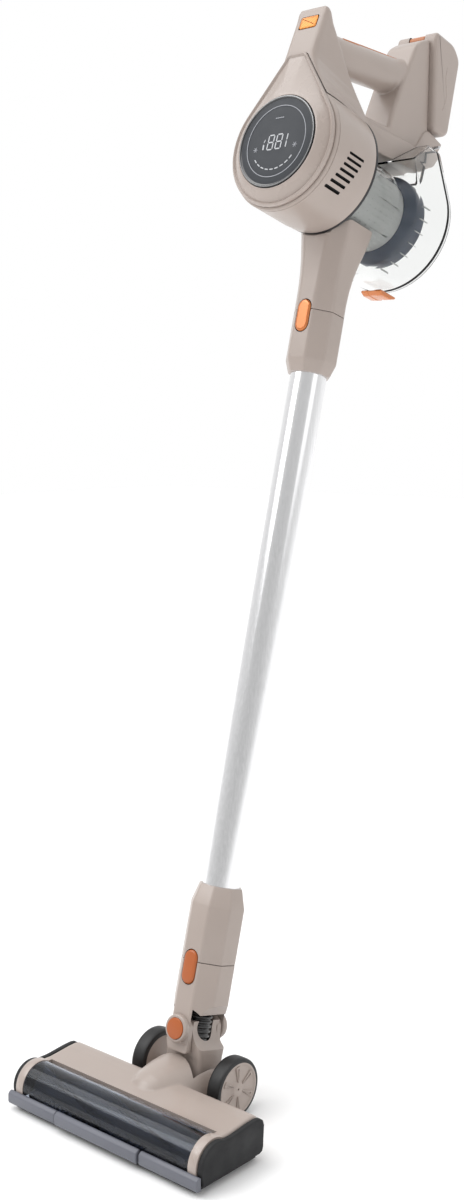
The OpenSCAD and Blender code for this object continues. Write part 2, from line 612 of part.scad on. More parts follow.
module head_profile(grow) hull() {
    translate([roller_y, roller_z]) circle(d = window_d + 2 * grow, $fn = 64);
    translate([cover_rear - 7, cover_top - 7]) circle(r = 7 + grow, $fn = 32);
    translate([cover_rear - 9, 9]) circle(r = 5 + grow, $fn = 32);
}
module dome_solid() hull() {
    rod_x(50, -36, 36, 8, wheel_z - 2);
    block(-26, 26, -56, -50, 30, cover_top - 1);
}
module head_cover() on_floor() color("#c0b4aa") difference() {
    union() {
        difference() {
            along_x(-cover_x, cover_x) head_profile(0);
            along_x(-cover_x + 1.5, cover_x - 1.5) head_profile(-shell);
            block(-window_half - seam, window_half + seam, roller_y - 40, split_y, 0, 60);
        }
        difference() {
            dome_solid();
            block(-60, 60, -44, cover_rear - 2, -10, cover_top - 4);
        }
    }
    block(-head_w, head_w, -140, 60, -10, sole_z + sole_t + 3 + seam);
    rod_x(window_d - 2 * shell, -cover_x - overshoot, cover_x + overshoot, roller_y, roller_z);
    rod_x(2 * neck_sweep + 1, -arm_in + seam, arm_in - seam, wheel_y, wheel_z);
    block(-arm_in + seam, arm_in - seam, 0, 60, -10, 70);
    block(-60, 60, -23, 60, -30, 10);
    rod_x(6 + 2 * press, -60, 60, wheel_y, wheel_z);
    rod_y(30, -60, 0, 0, 22);
}

module head_base() on_floor() color("#2c2d30") difference() {
    union() {
        block(-cover_x + 0.5, cover_x - 0.5, -103.5, cover_rear - 4, sole_z, sole_z + sole_t);
        block(-window_half - 2.5, window_half + 2.5, bulkhead_y - 2, bulkhead_y, sole_z, 36);
        both_sides() block(window_half + 0.6, window_half + 2.6, -94, bulkhead_y, sole_z, 32);
        rod_y(29, bulkhead_y - 1, -22, 0, 22);
        both_sides() block(70, 78, -64, -34, 0, sole_z + 1);
    }
    block(-window_half + 2, window_half - 2, -101, bulkhead_y - 3, -5, sole_z + sole_t + 1);
    rod_y(25, bulkhead_y - 4, -20, 0, 22);
    rod_x(9 + 2 * press, -head_w, head_w, roller_y, roller_z);
    head_screw_holes();
}

module window_section() difference() {
    head_profile(0);
    head_profile(-clear_wall);
    translate([roller_y - 60, -40]) square([120, 40 + 12]);
    translate([split_y - seam, -40]) square([80, 100]);
}
module roller_window() on_floor() color([0.2, 0.22, 0.26, 0.55]) along_x(-window_half, window_half) window_section();

module bumper() on_floor() color("#45474d") {
    along_x(-head_w / 2, head_w / 2) polygon([[-104, 4.5], [-108, 4.5], [-109.5, 7], [-109, 15], [-106, 17], [-104, 15]]);
    along_x(-52, 48) polygon([[-105, 6], [-110, 6], [-111, 8], [-110.5, 15.5], [-107, 17.8], [-105, 16]]);
}

module end_outline(grow) hull() {
    translate([roller_y, roller_z + 1]) circle(d = window_d - 2 + 2 * grow, $fn = 64);
    translate([cover_rear - 9, 27]) circle(r = 9 + grow, $fn = 32);
    translate([cover_rear - 11, 12]) circle(r = 8 + grow, $fn = 32);
}
module end_plate() difference() {
    along_x(cover_x + seam, head_w / 2) end_outline(0);
    block(0, head_w, -140, -103.6, -10, 20);
}
module end_plate_left() on_floor() color("#2f3034") mirror([1, 0, 0]) end_plate();
module end_plate_right() on_floor() color("#2f3034") end_plate();

motor_x0 = belt_x + 12;
motor_x1 = -36;
motor_shaft_d = 2.4;
module roller_motor() on_floor() color("#8e9196") difference() {
    rod_x(roller_motor_d, motor_x0, motor_x1, motor_y, motor_z);
    rod_x(roller_motor_d - 4, motor_x0 + 3, motor_x1 - 3, motor_y, motor_z);
    rod_x(motor_shaft_d + 2 * run_fit, motor_x0 - overshoot, motor_x0 + 4, motor_y, motor_z);
}
// Pulley, shaft and the armature that turns inside the roller motor
module motor_pulley() on_floor() color("#dadada") {
    rod_x(motor_pulley_d, belt_x - belt_w / 2 - 0.3, belt_x + belt_w / 2 + 0.3, motor_y, motor_z);
    rod_x(motor_shaft_d, belt_x - 1, motor_x0 + 8, motor_y, motor_z);
    rod_x(roller_motor_d - 6, motor_x0 + 6, motor_x1 - 6, motor_y, motor_z);
}
module belt_loop(grow) hull() {
    translate([roller_y, roller_z]) circle(d = roller_pulley_d + 2 * grow, $fn = 64);
    translate([motor_y, motor_z]) circle(d = motor_pulley_d + 2 * grow, $fn = 64);
}
module drive_belt() on_floor() color("#1b1b1d") along_x(belt_x - belt_w / 2, belt_x + belt_w / 2) difference() {
    belt_loop(1.7);
    belt_loop(0.3);
}

brush_half = window_half - 6;
module brush_core() on_floor() color("#3a3b40") {
    rod_x(core_d, -brush_half + 4, brush_half, roller_y, roller_z);
    rod_x(6, belt_x, window_half + 4, roller_y, roller_z);
    rod_x(roller_pulley_d, belt_x - belt_w / 2 - 0.3, belt_x + belt_w / 2 + 0.3, roller_y, roller_z);
}
// Bristle strips wind round the core in short steps
strip_count = 4;
strip_steps = 12;
module brush_strips() on_floor() color("#23242a") for (k = [0 : strip_count - 1]) for (i = [0 : strip_steps - 1])
    translate([-brush_half + 6 + i * (2 * brush_half - 8) / strip_steps, roller_y, roller_z])
        rotate([k * 360 / strip_count + i * 10, 0, 0])
            translate([0, -1.5, core_d / 2 + press]) cube([(2 * brush_half - 8) / strip_steps - 0.4, 3, brush_d / 2 - core_d / 2 - 0.2]);
module roller_bearings() on_floor() color("#c9ccd0") both_sides() difference() {
    rod_x(9, window_half + 0.8, window_half + 2.6, roller_y, roller_z);
    rod_x(6 + 2 * run_fit, window_half - 2, window_half + 6, roller_y, roller_z);
}

// ---------------------------------------------------------------- wheels

module wheel_axles() on_floor() color("#c9ccd0") both_sides() rod_x(6, arm_in + 1, wheel_in + wheel_w - 4, wheel_y, wheel_z);
module wheel_hub() difference() {
    union() {
        rod_x(wheel_d - 9, wheel_in, wheel_in + wheel_w - 2, wheel_y, wheel_z);
        rod_x(wheel_d - 6, wheel_in + wheel_w - 3, wheel_in + wheel_w - 1, wheel_y, wheel_z);
        for (a = [10 : 60 : 310]) translate([wheel_in + wheel_w - 1.5, wheel_y, wheel_z]) rotate([a, 0, 0])
            for (s = [-1, 1]) block(0, 1.9, s * 2.2 - 0.8, s * 2.2 + 0.8, 7, wheel_d / 2 - 5.5);
    }
    rod_x(6 + 2 * run_fit, wheel_in - overshoot, wheel_in + wheel_w - 3.5, wheel_y, wheel_z);
}
module tyre() difference() {
    rod_x(wheel_d, wheel_in + 0.5, wheel_in + wheel_w - 0.8, wheel_y, wheel_z);
    rod_x(wheel_d - 9 + 2 * press, wheel_in - overshoot, wheel_in + wheel_w + overshoot, wheel_y, wheel_z);
    rod_x(wheel_d - 6 + 2 * press, wheel_in + wheel_w - 3 - press, wheel_in + wheel_w + overshoot, wheel_y, wheel_z);
}
module wheel_left() on_floor() color("#c2b6ad") mirror([1, 0, 0]) wheel_hub();
module tyre_left() on_floor() color("#1e1e20") mirror([1, 0, 0]) tyre();
module wheel_right() on_floor() color("#c2b6ad") wheel_hub();
module tyre_right() on_floor() color("#1e1e20") tyre();

// ---------------------------------------------------------------- fasteners

frame_screw_at = [[-66, 84], [4, 50], [104, 68]];
screw_d = 3;
screw_head_d = 6;
module frame_screw_holes() for (p = frame_screw_at) {
    rod_x(screw_head_d + 2 * press, -loop_w / 2 - 30, -loop_w / 2 + 4, p[0], p[1]);
    rod_x(screw_d + 2 * press, -loop_w / 2, -loop_w / 2 + 16, p[0], p[1]);
}
module frame_screws() on_motor() color("#9a9da1") for (p = frame_screw_at) difference() {
    union() {
        rod_x(screw_head_d, -loop_w / 2 + 1.6, -loop_w / 2 + 3.9, p[0], p[1]);
        rod_x(screw_d, -loop_w / 2 + 3, -loop_w / 2 + 15, p[0], p[1]);
    }
    rod_x(2.4, -loop_w / 2, -loop_w / 2 + 3, p[0], p[1]);
}
head_screw_at = [[-88, -44], [88, -44], [-40, -34], [40, -34]];
module head_screw_holes() for (p = head_screw_at) translate([p[0], p[1], -3]) cylinder(d = screw_head_d + 2 * press, h = 20);
module head_screws() on_floor() color("#9a9da1") for (p = head_screw_at) translate([p[0], p[1], sole_z + 0.6]) difference() {
    cylinder(d = screw_head_d, h = sole_t - 1);
    translate([0, 0, -overshoot]) cylinder(d = 2.4, h = 2.4);
}

handle_frame();
grip_inlay();
front_panel();
motor_housing();
display_bezel();
display_glass();
display_board();
inlet_neck();
motor_can();
motor_stator();
motor_rotor();
motor_seal();
rim_gasket();
cyclone_shroud();
cyclone_skirt();
hepa_filter();
power_button();
battery_dock_contacts();
frame_screws();
battery_case();
battery_cells();
battery_board();
charge_socket();
battery_button();
dust_cup();
cup_lid();
lid_gasket();
lid_pins();
cup_latch();
wand_tube();
wand_top_fitting();
wand_bottom_fitting();
wand_wire_duct();
wand_plug();
wand_button();
neck_upper();
neck_plug();
bellows_hose();
head_button();
neck_lower();
swivel_pins();
swivel_cap();
head_cover();
head_base();
roller_window();
bumper();
end_plate_left();
end_plate_right();
roller_motor();
motor_pulley();
drive_belt();
brush_core();
brush_strips();
roller_bearings();
wheel_axles();
wheel_left();
tyre_left();
wheel_right();
tyre_right();
head_screws();
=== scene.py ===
# %% [markdown]
# # A cordless stick vacuum cleaner, dressed for a studio picture
# The CAD model gives every piece its place. This script keeps those places, builds the visible
# skins on top of them and gives each one a procedural finish. Lengths are in millimetres inside
# the shape functions and in metres once a piece is placed.

# %% Load the frame
import json
from math import atan2, cos, pi, radians, sin, sqrt

import bmesh
import bpy
import numpy as np
from mathutils import Matrix, Vector


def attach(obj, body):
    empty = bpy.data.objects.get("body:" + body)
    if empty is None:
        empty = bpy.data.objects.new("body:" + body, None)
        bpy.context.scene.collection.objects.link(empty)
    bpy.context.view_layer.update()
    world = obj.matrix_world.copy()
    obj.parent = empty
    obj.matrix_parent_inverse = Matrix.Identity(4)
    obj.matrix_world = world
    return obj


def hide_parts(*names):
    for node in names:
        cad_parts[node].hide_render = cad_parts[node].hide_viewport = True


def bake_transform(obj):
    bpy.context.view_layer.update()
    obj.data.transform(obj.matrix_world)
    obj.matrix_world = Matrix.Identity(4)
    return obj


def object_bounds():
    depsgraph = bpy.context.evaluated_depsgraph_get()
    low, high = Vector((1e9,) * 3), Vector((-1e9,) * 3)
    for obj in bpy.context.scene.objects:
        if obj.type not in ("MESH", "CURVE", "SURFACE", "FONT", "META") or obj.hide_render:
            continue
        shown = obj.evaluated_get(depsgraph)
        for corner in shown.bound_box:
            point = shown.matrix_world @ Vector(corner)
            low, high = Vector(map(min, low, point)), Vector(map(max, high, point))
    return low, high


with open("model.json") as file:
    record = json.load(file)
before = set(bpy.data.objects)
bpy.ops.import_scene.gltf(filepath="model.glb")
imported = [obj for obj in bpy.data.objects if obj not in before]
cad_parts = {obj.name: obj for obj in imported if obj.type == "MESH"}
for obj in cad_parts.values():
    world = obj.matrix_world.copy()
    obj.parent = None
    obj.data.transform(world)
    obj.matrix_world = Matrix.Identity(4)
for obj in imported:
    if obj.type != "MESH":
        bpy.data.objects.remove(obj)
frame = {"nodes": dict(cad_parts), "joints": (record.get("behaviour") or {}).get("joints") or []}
cad_low, cad_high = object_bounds()
nodes = frame["nodes"]
joints = {j["name"]: j for j in frame["joints"]}
MM = 0.001

# %% [markdown]
# ## Working frames
# The wand leans, so most shapes are easier in the wand's own frame: x to the right, c along the
# motor axis (towards the cup), w up the wand. The swivel joint gives both directions. The motor and
# the cyclone share them further up, and the floor head has a level frame of its own.

# %% Frames from the joints
SWIVEL_W = 73.0
GRIP_AT = (0.0, 5.0, 120.0)
GRIP_TILT = radians(13)
CYCLONE_DROP = 11.0
WHEEL_AT = (0.0, 15.0, 28.0)

x_dir = Vector((1, 0, 0))
c_dir = Vector(joints["swivel"]["axis"]).normalized()
w_dir = x_dir.cross(c_dir)


def frame_at(origin, second, third):
    turn = Matrix((x_dir, second, third)).transposed().to_4x4()
    return Matrix.Translation(origin) @ turn @ Matrix.Scale(MM, 4)


def shifted(base, x=0.0, y=0.0, z=0.0):
    return base @ Matrix.Translation((x, y, z))


WAND = frame_at(Vector(joints["swivel"]["pos_m"]) - w_dir * SWIVEL_W * MM, c_dir, w_dir)
motor_w = (WAND.inverted() @ Vector(joints["fan_spin"]["pos_m"])).z
MOTOR = shifted(WAND, z=motor_w)
CYCLONE = shifted(WAND, z=motor_w - CYCLONE_DROP)
GRIP = shifted(MOTOR, *GRIP_AT) @ Matrix.Rotation(GRIP_TILT, 4, "X")
wheel_pos = Vector(joints["left_wheel_spin"]["pos_m"])
FLOOR = frame_at(wheel_pos - Vector(WHEEL_AT) * MM, Vector((0, 1, 0)), Vector((0, 0, 1)))


def reach(node, place):
    """Lowest and highest corner of a CAD node in one of the frames, in millimetres."""
    back = place.inverted()
    points = [back @ v.co for v in nodes[node].data.vertices]
    low = Vector(min(p[i] for p in points) for i in range(3))
    high = Vector(max(p[i] for p in points) for i in range(3))
    return low, high


tube_low, tube_high = (p.z for p in reach("wand_tube", WAND))
print("motor height", round(motor_w, 2), "tube", round(tube_low, 1), round(tube_high, 1))

# %% [markdown]
# ## Mesh tools
# A piece is lofted through loops, turned on an axis, or extruded from an outline. Soft mouldings
# are unions that are remeshed and relaxed, so that their parts flow into each other.

# %% Mesh tools
collection = bpy.context.scene.collection


def make_mesh(name, verts, faces, place, crease=32):
    mesh = bpy.data.meshes.new(name)
    mesh.from_pydata([tuple(v) for v in verts], [], faces)
    bm = bmesh.new()
    bm.from_mesh(mesh)
    bmesh.ops.remove_doubles(bm, verts=bm.verts, dist=1e-4)
    bmesh.ops.recalc_face_normals(bm, faces=bm.faces)
    bm.to_mesh(mesh)
    bm.free()
    mesh.transform(place)
    obj = bpy.data.objects.new(name, mesh)
    collection.objects.link(obj)
    return shade(obj, crease)


def shade(obj, crease=32):
    obj.data.shade_smooth()
    obj.data.set_sharp_from_angle(angle=radians(crease))
    return obj


def loft(name, loops, place, ring=False, crease=32):
    """Skin through loops of equal length. A ring joins the last loop to the first."""
    n = len(loops[0])
    verts = [tuple(p) for loop in loops for p in loop]
    faces = []
    steps = len(loops) if ring else len(loops) - 1
    for i in range(steps):
        a, b = i * n, ((i + 1) % len(loops)) * n
        faces += [(a + k, a + (k + 1) % n, b + (k + 1) % n, b + k) for k in range(n)]
    if not ring:
        faces.append(tuple(range(n))[::-1])
        faces.append(tuple(range(len(verts) - n, len(verts))))
    return make_mesh(name, verts, faces, place, crease)


def circle(radius, n=96, centre=(0, 0)):
    angles = [2 * pi * k / n for k in range(n)]
    return [(centre[0] + radius * cos(a), centre[1] + radius * sin(a)) for a in angles]


def turned(name, profile, place, axis="y", centre=(0, 0), ring=False, n=96, crease=32):
    """Turn (along, radius) points about an axis of the frame."""
    loops = []
    for along, radius in profile:
        flat = circle(max(radius, 1e-5), n, centre)
        loops.append([on_axis(axis, along, u, v) for u, v in flat])
    return loft(name, loops, place, ring, crease)


def on_axis(axis, along, u, v):
    return {"x": (along, u, v), "y": (u, along, v), "z": (u, v, along)}[axis]


def rounded(corners, radius, k=6):
    """Closed outline with every corner replaced by an arc of k + 1 points."""
    out = []
    count = len(corners)
    for i in range(count):
        p = Vector(corners[i])
        a = Vector(corners[i - 1]) - p
        b = Vector(corners[(i + 1) % count]) - p
        trim = min(radius, 0.45 * a.length, 0.45 * b.length)
        start, end = p + a.normalized() * trim, p + b.normalized() * trim
        for j in range(k + 1):
            t = j / k
            out.append(tuple(start * (1 - t) ** 2 + p * 2 * t * (1 - t) + end * t * t))
    return out


def inset(outline, amount):
    """Outline moved inwards by amount along its own corner normals."""
    pts = [Vector(p) for p in outline]
    area = sum(a.x * b.y - b.x * a.y for a, b in zip(pts, pts[1:] + pts[:1]))
    turn = 1 if area > 0 else -1
    out = []
    for i, p in enumerate(pts):
        along = pts[(i + 1) % len(pts)] - pts[i - 1]
        normal = Vector((-along.y, along.x)).normalized() * turn
        out.append(tuple(p + normal * amount))
    return out


def hull_outline(circles, n=180):
    """Even outline round a set of circles (u, v, radius), counter-clockwise from its lowest point."""
    cloud = {(round(u + r * cos(a), 5), round(v + r * sin(a), 5))
             for u, v, r in circles for a in np.linspace(0, 2 * pi, 180, endpoint=False)}

    def half(points):
        chain = []
        for p in points:
            while len(chain) > 1 and ((chain[-1][0] - chain[-2][0]) * (p[1] - chain[-2][1])
                                      - (chain[-1][1] - chain[-2][1]) * (p[0] - chain[-2][0])) <= 0:
                chain.pop()
            chain.append(p)
        return chain[:-1]
    hull = np.array(half(sorted(cloud)) + half(sorted(cloud, reverse=True)))
    hull = np.roll(hull, -int(np.argmin(hull[:, 1])), axis=0)
    closed = np.vstack([hull, hull[:1]])
    lengths = np.concatenate([[0], np.cumsum(np.linalg.norm(np.diff(closed, axis=0), axis=1))])
    at = np.linspace(0, lengths[-1], n, endpoint=False)
    return [tuple(float(np.interp(a, lengths, closed[:, i])) for i in (0, 1)) for a in at]


def slab(name, outline, lo, hi, place, axis="x", edge=1.0, steps=4, crease=32):
    """Extruded outline with both rims rounded over by edge."""
    loops = []
    for end, sign in ((lo, 1), (hi, -1)):
        turns = [pi / 2 * j / steps for j in range(steps + 1)]
        rim = [(end + sign * edge * (1 - sin(t)), edge * (1 - cos(t))) for t in turns]
        rim = rim[::-1] if sign > 0 else rim
        loops += [[on_axis(axis, at, u, v) for u, v in inset(outline, drop)] for at, drop in rim]
    return loft(name, loops, place, crease=crease)


def tool(outline, lo, hi, place, axis="y", edge=0.02):
    """Slab with next to no rounding, used to cut or to mark."""
    return slab("tool", outline, lo, hi, place, axis, edge, 1)


def apply_all(obj):
    graph = bpy.context.evaluated_depsgraph_get()
    mesh = bpy.data.meshes.new_from_object(obj.evaluated_get(graph))
    obj.modifiers.clear()
    obj.data = mesh
    return obj


def cut(obj, *cutters, how="DIFFERENCE"):
    """Take cutters out of obj, or add them. New faces keep the cutter's own material."""
    for cutter in cutters:
        for material in cutter.data.materials:
            if material and material.name not in [m.name for m in obj.data.materials if m]:
                obj.data.materials.append(material)
        mod = obj.modifiers.new("cut", "BOOLEAN")
        mod.object = cutter
        mod.operation = how
        mod.solver = "EXACT"
        mod.material_mode = "TRANSFER"
        apply_all(obj)
        bpy.data.objects.remove(cutter)
    return obj


def join(name, parts):
    bm = bmesh.new()
    for part in parts:
        bm.from_mesh(part.data)
        bpy.data.objects.remove(part)
    mesh = bpy.data.meshes.new(name)
    bm.to_mesh(mesh)
    bm.free()
    obj = bpy.data.objects.new(name, mesh)
    collection.objects.link(obj)
    return obj


def melted(name, parts, voxel=1.0, relax=6, crease=40):
    """Union of parts whose seams flow together, as a moulding's fillets do."""
    obj = join(name, parts)
    remesh = obj.modifiers.new("remesh", "REMESH")
    remesh.mode = "VOXEL"
    remesh.voxel_size = voxel * MM
    relaxed = obj.modifiers.new("relax", "SMOOTH")
    relaxed.factor = 0.5
    relaxed.iterations = relax
    apply_all(obj)
    return shade(obj, crease)


def box_loops(sections, corner=4.0):
    """Loops of rounded boxes. A section is (w, half width, c low, c high, chamfer)."""
    loops = []
    for w, half, c0, c1, cham in sections:
        corners = [
            (half, c0 + cham), (half, c1 - cham), (half - cham, c1), (-half + cham, c1),
            (-half, c1 - cham), (-half, c0 + cham), (-half + cham, c0), (half - cham, c0),
        ]
        loops.append([(x, c, w) for x, c in rounded(corners, corner)])
    return loops


def block(x0, x1, y0, y1, z0, z1, place):
    corners = [(x0, y0), (x1, y0), (x1, y1), (x0, y1)]
    return loft("block", [[(x, y, z) for x, y in corners] for z in (z0, z1)], place)


def rod(axis, radius, lo, hi, place, centre=(0, 0), n=64):
    return turned("rod", [(lo, radius), (hi, radius)], place, axis, centre, n=n)

# %% [markdown]
# ## Repeating things with geometry nodes
# Slots, spokes, bristles, dashes and ribs all repeat in steps. One node group does them: each
# copy is moved by Step and turned by Turn more than the one before, with a little random lean.

# %% The repeat group


def repeat_group():
    group = bpy.data.node_groups.new("repeat_in_steps", "GeometryNodeTree")
    sockets = {}
    for label, kind in (("Item", "Object"), ("Count", "Int"), ("Step", "Vector"), ("Turn", "Vector"),
                        ("Lean", "Float"), ("Seed", "Int"), ("Finish", "Material")):
        made = group.interface.new_socket(label, in_out="INPUT", socket_type="NodeSocket" + kind)
        sockets[label] = made.identifier
    group.interface.new_socket("Geometry", in_out="OUTPUT", socket_type="NodeSocketGeometry")
    add = group.nodes.new
    given, result = add("NodeGroupInput"), add("NodeGroupOutput")
    index, points, item, copies, real, finish = (add("GeometryNode" + kind) for kind in (
        "InputIndex", "Points", "ObjectInfo", "InstanceOnPoints", "RealizeInstances", "SetMaterial"))
    place, turn, total = (add("ShaderNodeVectorMath") for _ in range(3))
    lean, euler = add("FunctionNodeRandomValue"), add("FunctionNodeEulerToRotation")
    minus = add("ShaderNodeMath")
    place.operation = turn.operation = "SCALE"
    total.operation = "ADD"
    minus.operation = "MULTIPLY"
    minus.inputs[1].default_value = -1.0
    lean.data_type = "FLOAT_VECTOR"
    for source, target in (
            (given.outputs["Step"], place.inputs[0]),
            (index.outputs[0], place.inputs["Scale"]),
            (given.outputs["Turn"], turn.inputs[0]),
            (index.outputs[0], turn.inputs["Scale"]),
            (given.outputs["Lean"], minus.inputs[0]),
            (minus.outputs[0], lean.inputs["Min"]),
            (given.outputs["Lean"], lean.inputs["Max"]),
            (given.outputs["Seed"], lean.inputs["Seed"]),
            (turn.outputs[0], total.inputs[0]),
            (lean.outputs["Value"], total.inputs[1]),
            (total.outputs[0], euler.inputs[0]),
            (given.outputs["Count"], points.inputs["Count"]),
            (place.outputs[0], points.inputs["Position"]),
            (given.outputs["Item"], item.inputs["Object"]),
            (points.outputs[0], copies.inputs["Points"]),
            (item.outputs["Geometry"], copies.inputs["Instance"]),
            (euler.outputs[0], copies.inputs["Rotation"]),
            (copies.outputs[0], real.inputs[0]),
            (real.outputs[0], finish.inputs[0]),
            (given.outputs["Finish"], finish.inputs["Material"]),
            (finish.outputs[0], result.inputs[0])):
        group.links.new(source, target)
    return group, sockets


REPEAT, SOCKETS = repeat_group()


def repeated(name, item, count, material, place, step=(0, 0, 0), turn=(0, 0, 0), lean=0.0, seed=1):
    """Copies of item, which is drawn in millimetres about the frame's origin."""
    host = bpy.data.objects.new(name, bpy.data.meshes.new(name))
    collection.objects.link(host)
    mod = host.modifiers.new("repeat", "NODES")
    mod.node_group = REPEAT
    values = {"Item": item, "Count": count, "Step": step, "Turn": turn, "Lean": lean, "Seed": seed,
              "Finish": material}
    for label, value in values.items():
        mod[SOCKETS[label]] = value
    apply_all(host)
    bpy.data.objects.remove(item)
    host.data.transform(place)
    return shade(host)


FLAT = Matrix.Identity(4)
print("repeat group", len(REPEAT.nodes), "nodes")

# %% [markdown]
# ## Finishes
# Every finish is procedural and reads Object coordinates, so it stays put on its piece. A moulded
# plastic has a fine grain, slow colour drift and slightly paler edges where hands rub it.

# %% Finish makers


def start_material(name):
    material = bpy.data.materials.new(name)
    material.use_nodes = True
    tree = material.node_tree
    return material, tree, tree.nodes["Principled BSDF"]


def noise(tree, scale, detail=3.0, stretch=(1, 1, 1)):
    coords, mapping, made = (tree.nodes.new(kind) for kind in
                             ("ShaderNodeTexCoord", "ShaderNodeMapping", "ShaderNodeTexNoise"))
    mapping.inputs["Scale"].default_value = stretch
    made.inputs["Scale"].default_value = scale
    made.inputs["Detail"].default_value = detail
    tree.links.new(coords.outputs["Object"], mapping.inputs["Vector"])
    tree.links.new(mapping.outputs["Vector"], made.inputs["Vector"])
    return made.outputs["Fac"]


def spread(tree, value, low, high, start=0.3, end=0.7):
    node = tree.nodes.new("ShaderNodeMapRange")
    for socket, number in zip(("From Min", "From Max", "To Min", "To Max"), (start, end, low, high)):
        node.inputs[socket].default_value = number
    tree.links.new(value, node.inputs["Value"])
    return node.outputs["Result"]


def mixed(tree, factor, first, second):
    node = tree.nodes.new("ShaderNodeMix")
    node.data_type = "RGBA"
    tree.links.new(factor, node.inputs["Factor"])
    for socket, value in ((node.inputs[6], first), (node.inputs[7], second)):
        if isinstance(value, tuple):
            socket.default_value = (*value, 1)
        else:
            tree.links.new(value, socket)
    return node.outputs[2]


def tinted(color, amount):
    return tuple(min(1.0, v * amount) for v in color)


def bumped(tree, shader, height, strength, distance):
    node = tree.nodes.new("ShaderNodeBump")
    node.inputs["Strength"].default_value = strength
    node.inputs["Distance"].default_value = distance
    tree.links.new(height, node.inputs["Height"])
    tree.links.new(node.outputs["Normal"], shader.inputs["Normal"])


def feed(tree, value, shader, socket):
    tree.links.new(value, shader.inputs[socket])


def plastic(name, color, rough=0.4, grain=900.0, depth=0.08, coat=0.0, wear=0.12, drift=0.03):
    material, tree, shader = start_material(name)
    slow = spread(tree, noise(tree, 14.0), 0.0, 1.0)
    base = mixed(tree, slow, tinted(color, 1 - drift), tinted(color, 1 + drift))
    geometry = tree.nodes.new("ShaderNodeNewGeometry")
    edge = spread(tree, geometry.outputs["Pointiness"], 0.0, wear, 0.53, 0.62)
    base = mixed(tree, edge, base, tinted(color, 1.25))
    feed(tree, base, shader, "Base Color")
    fine = noise(tree, grain, 2.0)
    feed(tree, spread(tree, noise(tree, 60.0), rough * 0.88, rough * 1.12), shader, "Roughness")
    shader.inputs["Coat Weight"].default_value = coat
    shader.inputs["Coat Roughness"].default_value = 0.12
    bumped(tree, shader, fine, depth, 0.0002)
    return material


def metal(name, color, rough, stretch=(1, 1, 1), scale=400.0, depth=0.06):
    material, tree, shader = start_material(name)
    shader.inputs["Metallic"].default_value = 1.0
    lines = noise(tree, scale, 2.0, stretch)
    streaks = mixed(tree, spread(tree, lines, 0.0, 1.0), tinted(color, 0.94), color)
    feed(tree, streaks, shader, "Base Color")
    feed(tree, spread(tree, lines, rough * 0.88, rough * 1.12), shader, "Roughness")
    bumped(tree, shader, lines, depth, 0.0001)
    return material


def clear(name, color, rough=0.03, ior=1.45, smear=0.02):
    material, tree, shader = start_material(name)
    shader.inputs["Base Color"].default_value = (*color, 1)
    shader.inputs["Transmission Weight"].default_value = 1.0
    shader.inputs["IOR"].default_value = ior
    feed(tree, spread(tree, noise(tree, 45.0), rough, rough + smear), shader, "Roughness")
    return material


def hatched(name, color):
    """Painted cap with slanting lines, for the power button."""
    material, tree, shader = start_material(name)
    coords, mapping, wave = (tree.nodes.new(kind) for kind in
                             ("ShaderNodeTexCoord", "ShaderNodeMapping", "ShaderNodeTexWave"))
    mapping.inputs["Rotation"].default_value = (0.0, radians(-50), 0.0)
    wave.inputs["Scale"].default_value = 120.0
    tree.links.new(coords.outputs["Object"], mapping.inputs["Vector"])
    tree.links.new(mapping.outputs["Vector"], wave.inputs["Vector"])
    lines = mixed(tree, wave.outputs["Fac"], tinted(color, 0.8), tinted(color, 1.15))
    feed(tree, lines, shader, "Base Color")
    feed(tree, spread(tree, noise(tree, 50.0), 0.22, 0.32), shader, "Roughness")
    shader.inputs["Metallic"].default_value = 0.45
    bumped(tree, shader, wave.outputs["Fac"], 0.25, 0.0003)
    return material


def glow(name, color, strength):
    material, tree, shader = start_material(name)
    shader.inputs["Base Color"].default_value = (*color, 1)
    shader.inputs["Emission Color"].default_value = (*color, 1)
    power = spread(tree, noise(tree, 300.0), strength * 0.9, strength * 1.1)
    feed(tree, power, shader, "Emission Strength")
    return material


TAUPE = (0.39, 0.327, 0.292)
COPPER = (0.58, 0.175, 0.04)
m_shell = plastic("satin_taupe", TAUPE, 0.36, coat=0.15)
m_gloss = plastic("bright_taupe", tinted(TAUPE, 1.03), 0.28, coat=0.35, depth=0.04)
m_wheel = plastic("wheel_taupe", tinted(TAUPE, 1.02), 0.42, grain=700.0)
m_copper = plastic("copper_paint", COPPER, 0.24, coat=0.6, depth=0.03)
m_copper.node_tree.nodes["Principled BSDF"].inputs["Metallic"].default_value = 0.5
m_inlay = plastic("copper_inlay", tinted(COPPER, 0.8), 0.34, coat=0.2)
m_burnt = plastic("burnt_orange", (0.42, 0.10, 0.018), 0.38, coat=0.15)
m_hatched = hatched("hatched_copper", (0.72, 0.27, 0.06))
m_tube = metal("drawn_aluminium", (0.90, 0.90, 0.91), 0.2, (60, 60, 1.2), 12.0, 0.01)
m_steel = metal("zinc_steel", (0.62, 0.63, 0.65), 0.3)
m_brass = metal("gold_contact", (0.80, 0.58, 0.25), 0.25)
m_copperwire = metal("windings", (0.58, 0.25, 0.10), 0.35, (1, 9, 1))
m_black = plastic("black_moulding", (0.018, 0.018, 0.02), 0.45)
# Near-black painted shade: it darkens the walls of slots, pockets, holes and seams, and the sheets put behind
# gaps.
m_painted_shade = plastic("painted_shade_black", (0.01, 0.01, 0.011), 0.8, coat=0.0, wear=0.0)
m_charcoal = plastic("charcoal_moulding", (0.008, 0.0082, 0.0095), 0.7, grain=1100.0, depth=0.2)
m_bumper = plastic("slate_rubber", (0.13, 0.135, 0.16), 0.42, grain=800.0, depth=0.15)
m_tyre = plastic("tyre_rubber", (0.007, 0.007, 0.0075), 0.5, grain=600.0, depth=0.25)
m_hose = plastic("hose_rubber", (0.012, 0.012, 0.013), 0.28, coat=0.4)
m_bezel = plastic("black_gloss", (0.012, 0.012, 0.014), 0.1, coat=1.0, depth=0.0)
